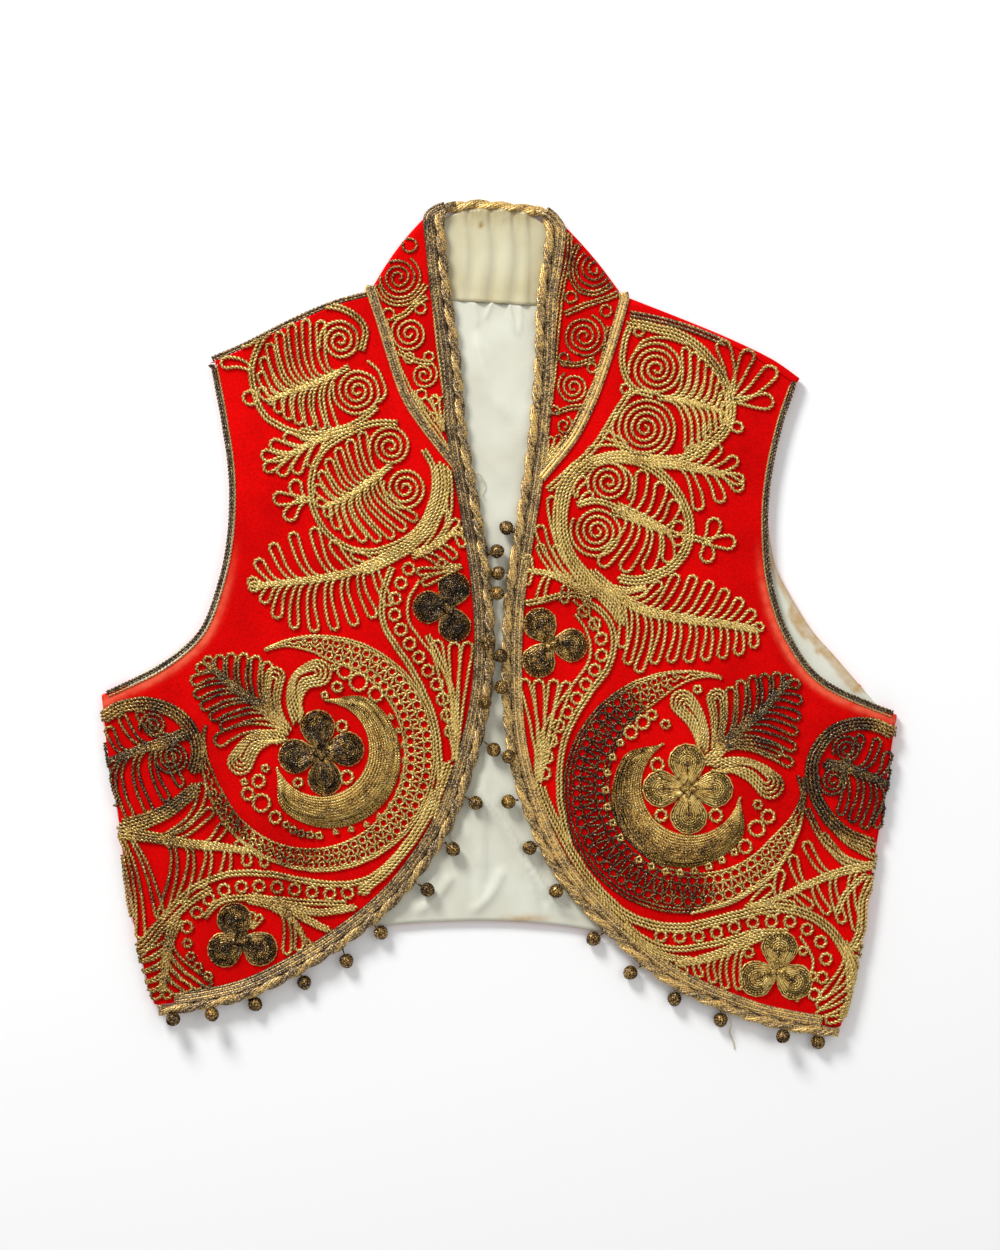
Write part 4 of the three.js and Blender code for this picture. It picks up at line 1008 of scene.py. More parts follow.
def band(side):
    """The flat band beside the rope: cords sewn side by side, close enough to hide the velvet."""
    centre = beside(outwards(side, rope_line[side]), ROPE_GAP + 0.2 + BAND_WIDTH / 2)
    end_x, end_y = outwards(side, ROPE_NECK)[0 if side == "right" else -1]
    top_x, top_y = centre[0]
    corner = [(mix(top_x, end_x, 0.6), end_y - 0.6), (mix(top_x, end_x, 0.27), mix(top_y, end_y, 0.63))]
    run = spaced([*flowing([*corner, centre[0], centre[6]]), *centre[7:-4]], step=1.5)
    lift = VELVET / 2 + SEAM + 0.45
    lines = []
    for off, half, dull in BAND_CORDS[side]:
        path = []
        for out, y in beside(run, off):
            x = SIGN[side] * out
            if y < BAND_ON_FRONT:
                path.append(lay(side, out, y, lift))
            elif y > COLLAR_FOLD[side]["top"][1] - 5 or inside_fold(x, y) > COLLAR_MARGIN:
                path.append(over_collar(x, y, lift))
        lines.append((path, half, lambda x, y, dull=dull: dull + 0.2 * smooth(-70, 60, y) + 0.3 * rough(x,
                                                                                                        y,
                                                                                                        9,
                                                                                                        4.0)))
    return cords(f"band {side}", lines, TRIM, "aged_gold", f"band_{side}")


BOUND_PLIES = ((-0.6, 0.4), (0.6, 0.4), (0, -0.55))  # a binding cord's plies: sideways and up
INNER_CORD = {"off": -2.15, "lift": 1.2, "half": 0.62, "dull": 0.15}


def armhole_cord(side):
    """A dark binding cord with a thin pale one inside it."""
    below = FRONT_ROWS["side"] + FRONT_ROWS["turn"]
    edge = front_chains(side)[1][below:][::-1]
    tip = outwards(side, SHOULDER[side])[-1]
    bound = beside(edge, CLOTH_INSET - BINDING_INSET)
    line = spaced([between(bound[0], tip, 0.2), *bound], step=1.0)[:-3]
    path = [lay(side, x, y) for x, y in line]
    inner = [lay(side, x, y, INNER_CORD["lift"]) for x, y in beside(line, INNER_CORD["off"])][3:]
    twisted = [(carried(path, off, up), 0.95, 0.8) for off, up in BOUND_PLIES]
    pale = (inner, INNER_CORD["half"], INNER_CORD["dull"])
    return cords(f"armhole cord {side}", [*twisted, pale], TRIM, "dark_gold",
                 f"armhole_cord_{side}", kind="twisted", pitch=4.2)


# The cords over the collar's seam: offset, half thickness, height and tarnish.
SEAM_CORDS = {
    "right": records(
        "off half up dull",
        (-2.1, 0.7, 0.1, 0.3),
        (-0.85, 1.0, 0.5, 0.62),
        (0.85, 1.0, 0.5, 0.58),
        (2.1, 0.7, 0.1, 0.3),
    ),
    "left": records(
        "off half up dull",
        (-2.1, 0.7, 0.1, 0.55),
        (-0.85, 1.0, 0.5, 0.2),
        (0.85, 1.05, 0.5, 0.12),
        (2.1, 0.7, 0.1, 0.5),
    ),
}
# Where those cords start at the neck and end under the band.
SEAM_ENDS = {
    "right": ((-70.6, 194), (-23.4, 95)),
    "left": ((67.5, 190.2), (22.2, 88.6)),
}


def collar_cord(side):
    first, final = SEAM_ENDS[side]
    run = spaced(outwards(side, [first, *along(COLLAR_SEAM[side], 80), final]), step=1.2)
    lines = []
    for cord in SEAM_CORDS[side]:
        path = [lay(side, x, y, VELVET / 2 + 0.6 + cord["up"]) for x, y in beside(run, cord["off"])]
        lines.append((path, cord["half"], cord["dull"]))
    return cords(f"collar cord {side}", lines, TRIM, "gold", f"collar_cord_{side}")


def shoulder_cords():
    right = spaced(beside(along(SHOULDER["right"], 60), BINDING_INSET)[:-1], step=1.2)
    path = [(x, y, 3.6) for x, y in right]
    lines = [(carried(path, off, up), 1.0, 0.6) for off, up in ((-0.75, 0.3), (0.75, 0.3), (0, -0.6))]
    cords("shoulder cord right", lines, TRIM, "aged_gold", "shoulder_cord_right", kind="twisted", pitch=5.0)
    left = spaced(along(SHOULDER_SEAM, 60)[1:36], step=1.2)
    lines = []
    for off in (-1.1, 1.1):
        moved = beside(left, off)
        lines.append(([(x, y, crown(x, y) + VELVET / 2 + 1.0) for x, y in moved], 1.05, 0.5))
    cords("shoulder cord left", lines, TRIM, "aged_gold", "shoulder_cord_left", kind="twisted", pitch=5.0)


# ---------- padded embroidery ----------
CORD = 1.22  # half the thickness of the couched cord
NET_CORD = 0.92  # the same for the net's cord
COLLAR_CORD = 0.95  # the same for the collar's cord
COUCHED_PITCH = 4.6  # length of one turn of the couched cord
FINE = 0.62  # half the thickness of the thread that covers padding
PETAL_ROUNDS = 8  # rounds of thread over a petal
NET_WAVE = 6.2  # length of one wave of the net
UPPER_FROM = -20  # motifs whose middle is above this height are the upper piece


def pad(name, domes, material, slot, stands_for, dull):
    """Low domes under couched thread. A dome is its centre, its radius and its height."""
    work = bmesh.new()
    for (x, y), radius, height in domes:
        made = bmesh.ops.create_uvsphere(work, u_segments=20, v_segments=10, radius=1)["verts"]
        base = crown(x, y) + VELVET / 2 + 0.1
        for v in made:
            v.co = metres((x + v.co.x * radius, y + v.co.y * radius, base + max(0.0, v.co.z) * height))
    bmesh.ops.dissolve_degenerate(work, dist=1e-6, edges=work.edges[:])
    bmesh.ops.recalc_face_normals(work, faces=work.faces[:])
    mesh = meshed(work, name)
    paint(mesh, "dull", [dull] * len(mesh.vertices))
    return finished(name, mesh, material, slot, *stands_for)


def flower(name, size):
    """Round petals, each covered by thread that runs round and round it, and a knot between them."""
    height = size["height"]
    lines, domes = [], []
    for bearing in size["bearings"]:
        centre = polar((size["x"], size["y"]), size["out"], bearing)
        domes.append((centre, size["petal"] - 0.8, height - 0.5))
        for k in range(PETAL_ROUNDS):
            share = 1 - k / PETAL_ROUNDS
            radius = (size["petal"] + 0.6 - FINE) * share
            up = height * math.sqrt(max(0.0, 1 - share ** 2.6)) * 0.95
            loop = []
            for a in range(0, 361, 12):
                x, y = polar(centre, radius, a + bearing)
                x, y = between((x, y), (size["x"], size["y"]), 0.8 * max(0.0, -cos(radians(a))) ** 1.6)
                loop.append((x, y, crown(x, y) + VELVET / 2 + FINE * 0.8 + up))
            # The inner rounds are painted up to 0.2 darker: painted shade towards the petals' middles and the
            # flower's centre.
            dull = size["rim"] if k == 0 else size["dull"] + 0.2 * smooth(4, 8, k)
            lines.append((loop, FINE * 1.2, lambda x, y, dull=dull: dull + 0.35 * rough(x, y, 5, 9.0)))
    centre = (size["x"], size["y"])
    domes.append((centre, 4.5, height * 0.6))
    for radius in (0.8, 2.0):
        knot = [polar(centre, radius, a) for a in range(0, 361, 24)]
        lines.append(([(x, y, crown(x, y) + VELVET / 2 + height * 0.8) for x, y in knot], FINE * 1.2, 0.5))
    node_name = f"flower_{name}"
    pad(f"flower {name} padding", domes, GILT, "dark_gold", [node_name], 0.95)
    cords(f"flower {name}", lines, GILT, "dark_gold", kind="twisted", pitch=2.6, shade_depth=0.6)


MOON_CLEAN = {"right": -0.1, "left": 0.26}  # a moon's tarnish away from its streaks
MOON_THREADS = 12  # side by side across a moon


def moon_tarnish_and_shade(side, x, y, q):
    """A moon is brightest along its edges: the dark band along its padding's middle is painted
    shade, and the left moon's dark outer left is tarnish. q runs from the rim to the hole.
    """
    size = MOON[side]
    bearing = math.degrees(math.atan2(y - size["y"], x - size["x"])) % 360
    # Painted shade along the padding's middle, and on the left moon also tarnish at its outer left.
    if side == "right":
        shade_and_tarnish_streak = 0.55 * bell((q - 0.62) / 0.22) * (1 - 0.5 * bell((bearing - 200) / 30))
    else:
        shade_and_tarnish_streak = (0.75 * bell((q - 0.25) / 0.3) * bell((bearing - 190) / 55)
                  + 0.55 * bell((q - 0.5) / 0.2) * bell((bearing - 285) / 40))
    return clamp(MOON_CLEAN[side] + shade_and_tarnish_streak + 0.4 * rough(x, y, 7, 5.0) + 0.3 * rough(x, y, 2.2, 6.0))


def moon(side):
    """A crescent worked lengthwise with thread over padding."""
    size = MOON[side]
    dx, dy = size["hole_x"] - size["x"], size["hole_y"] - size["y"]
    apart = hypot(dx, dy)
    opening, half = (radians(size[key]) for key in ("opening", "half_open"))
    steps = 116

    def spot(i, q, low=0.0):
        angle = opening + mix(half, 2 * pi - half, i / steps)
        ray = (cos(angle), sin(angle))
        to_hole = dx * ray[0] + dy * ray[1]
        hole = to_hole + math.sqrt(max(0.0, size["hole"] ** 2 - apart ** 2 + to_hole ** 2))
        wide = mix(0.06, 1, smooth(0, 0.15, i / steps) * smooth(1, 0.85, i / steps))
        rim = mix(hole, size["outer"], wide)
        radius = mix(rim, min(hole, rim - 0.5), q)
        thin = clamp((rim - hole) / 8, 0.2, 1)
        x, y = size["x"] + radius * ray[0], size["y"] + radius * ray[1]
        return (x, y, crown(x, y) + VELVET / 2 + 0.35 + 0.3 + size["height"] * thin * sin(pi * q) - low)

    rows = [[spot(i, q / 10, 0.6) for q in range(11)] for i in range(0, steps + 1, 2)]
    cloth(f"moon {side} padding", rows, 0.6, GILT, "gold", [f"moon_{side}"], {"dull": lambda p: 0.6})
    lines = []
    for k in range(MOON_THREADS):
        q = (k + 0.5) / MOON_THREADS
        line = [spot(i, q) for i in range(steps + 1)]
        lines.append((line, FINE * 1.25, lambda x, y, q=q: moon_tarnish_and_shade(side, x, y, q)))
    cords(f"moon {side}", lines, GILT, "gold", kind="twisted", pitch=2.8, shade_depth=0.5)


# ---------- buttons ----------
def ball_of(node):
    """A ball button's centre and its shank's end, in metres, read off its solid."""
    spots = [v.co.copy() for v in node.data.vertices]
    first, second = max(((a, b) for a in spots for b in spots), key=lambda pair: (pair[0] - pair[1]).length)
    crowd = [sum((p - end).length < 1.6 * MM for p in spots) for end in (first, second)]
    pole, shank = (first, second) if crowd[0] < crowd[1] else (second, first)
    near = [p for p in spots if (p - shank).length < 1.6 * MM]
    tip = sum(near, Vector()) / len(near)
    axis = (tip - pole).normalized()
    return pole + axis * BUTTON * MM, tip, axis


def ball_button(name, node, rng):
    """A wooden ball wound with thread that crosses itself, on a short thread shank."""
    centre, tip, axis = ball_of(node)
    spin = Vector((0, 0, 1)).rotation_difference(axis)
    spin = spin @ Quaternion((0, 0, 1), rng.uniform(0, 6.28))
    turns, per_turn = 7, 18
    winding = []
    for k in range(turns * per_turn + 1):
        round_it = 2 * pi * k / per_turn
        lean = pi * k / (turns * per_turn)
        p = Vector((cos(round_it) * cos(lean), cos(round_it) * sin(lean), sin(round_it)))
        winding.append(p * (BUTTON - 0.5 + 0.1 * sin(3 * round_it)))
    shift = Vector((SHIFT[0], SHIFT[1], 0))
    placed = [tuple(spin @ p + centre / MM - shift) for p in winding]
    shank = [tuple(v / MM - shift) for v in (centre, tip)]
    dull = rng.uniform(0.55, 0.85)
    lines = [(placed, 0.62, lambda x, y: dull + 0.4 * rough(x, y, 3, 7.0)), (shank, 0.68, 0.8)]
    work = bmesh.new()
    bmesh.ops.create_uvsphere(work, u_segments=14, v_segments=9, radius=(BUTTON - 0.45) * MM)
    bmesh.ops.translate(work, verts=work.verts[:], vec=centre)
    mesh = meshed(work, name)
    paint(mesh, "dull", [dull + 0.1] * len(mesh.vertices))
    finished(f"{name} core", mesh, GILT, "dark_gold", node.name)
    cords(name, lines, GILT, "dark_gold", kind="twisted", pitch=2.4)


# ---------- stitched motifs: each gives a list of lines ----------
def strands(points, count=2, spacing=2.0, taper=1.0):
    """Cords couched side by side along one route, drawn together towards its end."""
    line = spaced(flowing(points))
    last = len(line) - 1
    lines = []
    for k in range(count):
        off = (k - (count - 1) / 2) * spacing
        shifted = beside(line, off)
        short = round(abs(off) / spacing * 2.2) if count > 2 and last > 40 else 0
        lines.append([between(shifted[i], line[i], (1 - taper) * i / last) for i in range(short,
                                                                                          last + 1 - short)])
    return lines


def spiral(centre, radius, turn=0, hand=1, gap=3.5, tail=()):
    """A single cord wound round a point, with an end that may run on."""
    turns = (radius - 1.2) / gap
    steps = int(turns * 40)
    line = []
    for k in range(steps + 1):
        t = k / steps
        angle = turn - hand * 360 * turns * (1 - t)
        line.append(polar(centre, mix(1.2, radius, t), angle))
    return [line + list(tail)]


def ring(centre, radius):
    return [polar(centre, radius, a) for a in range(0, 361, 20)]


def finger(base, lead, tip, width):
    """A narrow loop of cord: it leaves base towards lead, bends to its tip and comes back."""
    bend = between(lead, tip, 0.55)
    middle = []
    for k in range(13):
        t = k / 12
        middle.append(tuple(
            (1 - t) ** 3 * base[a] + 3 * t * (1 - t) ** 2 * lead[a]
            + 3 * t * t * (1 - t) * bend[a] + t ** 3 * tip[a]
            for a in (0, 1)))
    length = sum(hypot(q[0] - p[0], q[1] - p[1]) for p, q in zip(middle, middle[1:]))
    half = min(width / 2, length / 3)
    stop = max(0.3, 1 - half / length)
    body = [share_of(middle, stop * k / 10) for k in range(11)]
    left, right = [], []
    for k, (p, q) in enumerate(zip(beside(body, 1.0), body)):
        t = k / 10
        w = half * (0.22 + 0.78 * t ** 0.7)
        left.append(between(q, p, w))
        right.append(between(q, p, -w))
    end = body[-1]
    ahead = (tip[0] - body[-2][0], tip[1] - body[-2][1])
    bearing = math.degrees(math.atan2(ahead[1], ahead[0]))
    cap = [polar(end, half, bearing + 90 - a) for a in range(30, 180, 30)]
    return left + cap + right[::-1]


def feather(spine, tips_left, tips_right, counts, width=4.6, lean=0.45, core=2, root=0.1):
    """A spine with fingers down both sides, each leaving it along its own direction."""
    line = spaced(flowing(spine))
    lines = strands(spine, core, 1.9, 0.35) if core else []
    for tips, count in zip((tips_left, tips_right), counts):
        if not count:
            continue
        ends = spaced(flowing(tips))
        for k in range(count):
            t = k / max(1, count - 1)
            tip = share_of(ends, t)
            at = mix(root, 0.93, t)
            base = share_of(line, at)
            ahead = share_of(line, at + 0.06)
            behind = share_of(line, at - 0.06)
            reach = hypot(tip[0] - base[0], tip[1] - base[1])
            step = hypot(ahead[0] - behind[0], ahead[1] - behind[1]) or 1.0
            lead = (base[0] + (ahead[0] - behind[0]) / step * reach * lean,
                    base[1] + (ahead[1] - behind[1]) / step * reach * lean)
            lines.append(finger(base, lead, tip, width))
    return lines


def fan(root, tips, width=4.2):
    """Fingers that leave one place for a few tips."""
    middle = tips[len(tips) // 2]
    lines = []
    for tip in tips:
        lead = between(root, between(middle, tip, 0.5), 0.45)
        lines.append(finger(root, lead, tip, width))
    return lines


def leaf(root, lead, tip, width, nested=3):
    """A full loop with smaller ones inside it."""
    return [finger(between(root, tip, 0.06 * k), lead, between(tip, lead, 0.1 * k), width - 3.4 * k)
            for k in range(nested)]


def chain(points, count, radius=2.9):
    """A row of rings along a route."""
    line = spaced(flowing(points))
    return [ring(share_of(line, k / (count - 1)), radius) for k in range(count)]


def net_moon(outer, inner, opening):
    """A moon of net between two circles: its edges, a wave down its middle and two rows of rings."""
    (outer_centre, outer_radius), (inner_centre, inner_radius) = outer, inner
    dx, dy = inner_centre[0] - outer_centre[0], inner_centre[1] - outer_centre[1]
    lines = []
    steps = 300

    def spot(angle, share):
        t = (angle - opening[0]) / (opening[1] - opening[0])
        share *= mix(0.1, 1, smooth(0, 0.13, t) * smooth(1, 0.87, t))
        ray = (cos(radians(angle)), sin(radians(angle)))
        to_hole = dx * ray[0] + dy * ray[1]
        hole = to_hole + math.sqrt(max(0.0, inner_radius ** 2 - dx * dx - dy * dy + to_hole * to_hole))
        radius = mix(outer_radius, min(hole, outer_radius - 1.5), share)
        return (outer_centre[0] + ray[0] * radius, outer_centre[1] + ray[1] * radius)

    angles = [mix(opening[0], opening[1], k / steps) for k in range(steps + 1)]
    for share in (0, 0.09, 1):
        lines.append([spot(a, share) for a in angles])
    length = radians(opening[1] - opening[0]) * outer_radius
    waves = round(length / NET_WAVE)
    lines.append([(*spot(a, 0.53 + 0.17 * sin(2 * pi * waves * k / steps)), 0.4) for k,
                  a in enumerate(angles)])
    for k in range(waves):
        angle = mix(opening[0], opening[1], (k + 0.25) / waves)
        width = math.dist(spot(angle, 0), spot(angle, 1))
        radius = min(2.5, width * 0.14)
        if radius > 0.9:
            lines.append(ring(spot(angle, 0.27), radius))
            lines.append(ring(spot(angle + 180 / waves, 0.8), radius))
    return lines


# ---------- the right front ----------
def right_front():
    lines = []
    # upper medallion
    lines += spiral((-87.5, 163.9), 11.6, 200, 1)
    lines += spiral((-78.1, 136.4), 13.5, 160, -1)
    lines += feather([(-82.5, 149.6), (-97.9, 141.9), (-114.4, 135.9), (-127.6, 130.9)],
                     [(-90.2, 115), (-100.1, 115.5), (-111.1, 118.8), (-119.9, 123.8), (-125.4, 128.7)],
                     [(-97.9, 175.5), (-108.4, 176), (-117.7, 171.6), (-126.5, 162.2), (-130.9, 149.6),
                      (-130.9, 138.6)],
                     (7, 8))
    lines += strands([(-75.9, 158.4), (-73.7, 169.4), (-79.8, 178.2), (-90.8, 182.6), (-101.2, 182.1),
                      (-112.2, 177.7), (-126.5, 168.9),
                      (-134.8, 155.1), (-135.3, 139.7), (-129.8, 124.3), (-118.3, 116.1), (-104, 112.2),
                      (-88.6, 115), (-77, 119.9),
                      (-67.1, 127.6)], 2)
    lines += strands([(-67.1, 129.8), (-62.7, 135.3), (-66, 146.3), (-72.6, 152.9)], 1)
    # shoulder tip
    lines += strands([(-130.9, 168.3), (-137.5, 162.8), (-144.1, 160.6)], 3, 1.8, 0.4)
    lines += [finger((-135.3, 147.4), (-140.8, 152.9), (-152.4, 151.8), 6.2)]
    lines += [ring((-136.7, 132.8), 3.9)]
    # sprig
    lines += feather([(-79.2, 116.6), (-97.9, 110.6), (-116.6, 100.1)],
                     [(-103.4, 94.6), (-111.1, 91.3), (-119.4, 90.2), (-128.7, 93.5)],
                     [(-110, 113.3), (-118.8, 111.7), (-126.5, 107.8), (-130.4, 101.8)], (4, 4), 6.0, 0.35,
                     3, 0.35)
    # lower medallion
    lines += spiral((-60, 105.9), 11.6, 200, 1)
    lines += spiral((-52, 83.3), 12.1, 160, -1)
    lines += feather([(-59.4, 95.7), (-73.7, 85.2), (-85.2, 77.6), (-95.2, 73.2)],
                     [(-45.1, 65.5), (-57.8, 56.1), (-72.6, 53.9), (-85.2, 58.3), (-93, 67.1)],
                     [(-75.4, 114.4), (-87.5, 106.7), (-96.3, 96.8), (-100.7, 85.8), (-100.1, 77)], (8, 7))
    lines += strands([(-56.1, 118.8), (-68.8, 118.8), (-81.4, 113.9), (-95.2, 105.1), (-102.3, 93),
                      (-103.4, 78.7), (-99, 64.9),
                      (-88.6, 53.4), (-74.2, 48.4), (-60, 51.2), (-45.1, 60.5), (-36.9, 77), (-36.3, 93),
                      (-41.8, 104.5)], 2)
    # open flower on its stem
    lines += fan((-106.7, 76.7), [(-112.2, 87.5), (-123.2, 77.6), (-116.1, 66)], 7.0)
    lines += strands([(-107.3, 77), (-102.3, 77)], 2, 2.0)
    # low plume
    lines += feather([(-57.2, 47.9), (-79.2, 38), (-103.4, 33), (-134.8, 29.7)],
                     [(-59.4, 18.7), (-70.4, 11), (-85.2, 6.1), (-103.4, 4.4), (-118.8, 8.8),
                      (-129.8, 20.4), (-137, 28.6)],
                     [(-81.4, 48.4), (-92.4, 54.5), (-102.9, 62.2), (-113.9, 58.9), (-124.9, 52.8),
                      (-133.7, 43.5), (-137.5, 33)], (9, 7),
                     5.2, 0.35, 3)
    # stems beside the front's edge
    lines += strands([(-33, 97.9), (-31.9, 82.5), (-37.4, 66), (-49.5, 52.3), (-63.3, 44), (-77, 37.4)], 5,
                     1.9, 0.7)
    lines += feather([(-48.4, 46.2), (-35.2, 51.7), (-25.3, 59.4)], [(-28.6, 70.4), (-23.1, 66), (-20.4, 60)],
                     [(-30.3, 40.7), (-23.1, 45.1), (-19.3, 50.6)], (3, 3), 4.4, 0.3, 3)
    lines += [finger((-29.7, 60.5), (-26.4, 71.5), (-29.2, 93.5), 4.0)]
    # chest chain
    lines += chain([(-50, 39), (-57, 25), (-57.5, 13), (-52, 2), (-46, -7), (-40, -16), (-34, -25),
                    (-30, -37),
                    (-27, -50)], 12, 3.1)
    lines += strands([(-59, 40), (-64, 26), (-64, 10), (-57, -3), (-49, -15), (-42, -28), (-36, -44),
                      (-33.5, -60),
                      (-33, -80), (-37, -98)], 2)
    lines += strands([(-44, 33), (-50, 22), (-50, 11), (-44, 1), (-36, -9), (-29, -22), (-25, -38),
                      (-23, -56)], 1)
    lines += strands([(-40, 3), (-33, -10), (-27, -26), (-24, -46), (-25, -66)], 2)
    lines += strands([(-27.5, -66), (-32.5, -80), (-40.5, -97), (-51, -113), (-64, -128), (-78, -139)], 3,
                     1.9)
    lines += fan((-24.5, -66), [(-35, -1), (-25, -2), (-17.5, -2)], 6.0)
    lines += fan((-21, 40.7), [(-45, 37.5), (-42, 31), (-33, 43)], 4.0)
    # sprays inside it
    lines += feather([(-116, -50), (-130, -37), (-145, -26), (-160, -13)],
                     [(-153, -48), (-162, -39), (-167, -31), (-169, -23), (-166, -16)],
                     [(-127, -12), (-133, -9), (-142, -7), (-151, -8), (-160, -9)], (6, 6), 5.2, 0.4, 4)
    lines += leaf((-111, -46), (-117, -20), (-94, -17), 14.0, 4)
    lines += leaf((-115, -50), (-128, -38), (-122, -16), 10.0, 3)
    lines += leaf((-116, -53), (-136, -50), (-144, -72), 13.0, 4)
    lines += [finger((-118, -50), (-138, -44), (-155, -56), 7.0)]
    for place, radius in (((-91, -15), 1.6), ((-85, -17), 4), ((-89, -25.5), 2.6), ((-77.5, -23), 4.6),
                          ((-68, -29.5), 3.8), ((-96, -30), 1.6), ((-128.5, -70), 1.8), ((-132, -77), 3.2),
                          ((-140, -77.5), 1.6), ((-138, -84), 3.2), ((-130.5, -89), 4.6), ((-123, -97), 3.0),
                          ((-86.5, -47), 2.8), ((-84, -75), 3.4), ((-110.5, -78), 2.4)):
        lines.append(ring(place, radius))
    lines += chain([(-117, -101), (-110, -105.5), (-99, -107)], 5, 1.7)
    lines += chain([(-90, -105), (-76, -102), (-64, -95), (-56, -84), (-52.5, -70), (-53, -56), (-60, -42)],
                   11, 1.2)
    # side palmette
    lines += strands([(-219, -44), (-207, -36.5), (-191, -35), (-177, -40.5), (-168, -51), (-165.5, -62),
                      (-168.5, -74)], 4, 1.9)
    lines += spiral((-190, -47), 7.4, 200, 1, 2.7)
    lines += spiral((-179.5, -64), 9.4, 160, -1, 2.8)
    lines += feather([(-169, -50), (-185, -56), (-200, -61), (-216, -67)],
                     [(-174, -80), (-184, -90), (-193, -95), (-202, -98), (-210, -92), (-214, -80)],
                     [(-198, -39), (-207, -41), (-214, -47), (-218, -56)], (6, 4), 4.6, 0.5, 4)
    # side fern
    lines += strands([(-209, -103), (-196, -99.5), (-182, -93.5), (-171, -85), (-164, -78)], 5, 1.9, 0.75)
    lines += [finger((-184, -107), (-164, -98), (-163, -79), 5.0)]
    lines += feather([(-209, -105), (-190, -108), (-170, -111.5), (-150, -113.5), (-136, -116)],
                     [(-157.5, -92.5), (-150, -101.5), (-145, -109.5)],
                     [(-186, -153), (-169.5, -140), (-158, -132.5), (-148, -128.5), (-139, -124)], (3, 5),
                     5.0, 0.35, 4, 0.3)
    lines += strands([(-150, -113), (-140, -114), (-130, -120)], 1)
    lines += [finger((-208, -107), (-198, -124), (-196.5, -163), 4.6),
              finger((-202, -108), (-192, -124), (-186, -152), 4.8)]
    lines += strands([(-207, -118), (-204, -134), (-201, -152)], 2, 2.2)
    lines += [ring((-129, -121.5), 2.4)]
    # corner
    lines += strands([(-200, -170), (-188, -156), (-172, -139), (-157, -130.5), (-143, -127.5), (-126, -128),
                      (-108, -131.5), (-92, -133.5), (-78, -132.5), (-65, -126), (-51, -111), (-41, -95),
                      (-36, -82)], 2)
    lines += strands([(-198, -174), (-184, -158), (-170, -144), (-158, -136)], 2, 1.9)
    lines += chain([(-171.5, -157), (-163, -145.5), (-153, -137.5), (-141, -135), (-130, -134.5),
                    (-119, -135.5),
                    (-108, -137), (-96, -138.5), (-85, -138.5), (-74, -136)], 12, 3.0)
    lines += strands([(-162, -152), (-153, -143), (-140, -141), (-122, -142), (-104, -143.5), (-84, -144)], 2)
    lines += strands([(-138, -140), (-118, -144.5), (-100, -149), (-78, -146)], 3, 1.8, 0.6)
    lines += strands([(-134, -141), (-116, -147), (-102, -155), (-92, -159)], 3, 1.8, 0.6)
    lines += feather([(-140, -141), (-124, -146), (-112, -155), (-106, -166)], [],
                     [(-117, -172), (-112, -171), (-104, -167)], (0, 3), 4.6, 0.3, 3, 0.45)
    lines += fan((-136, -158), [(-136, -149), (-131, -151)], 3.6)
    lines += chain([(-171, -166), (-168, -176), (-160, -184)], 4, 2.2)
    lines += feather([(-176, -150), (-181, -164), (-183, -178), (-185, -194)],
                     [(-158, -189), (-166, -191), (-173, -193), (-180, -195)],
                     [(-199, -174), (-197.5, -182), (-195, -189), (-191, -195)], (5, 5), 4.8, 0.35, 4, 0.25)
    return lines


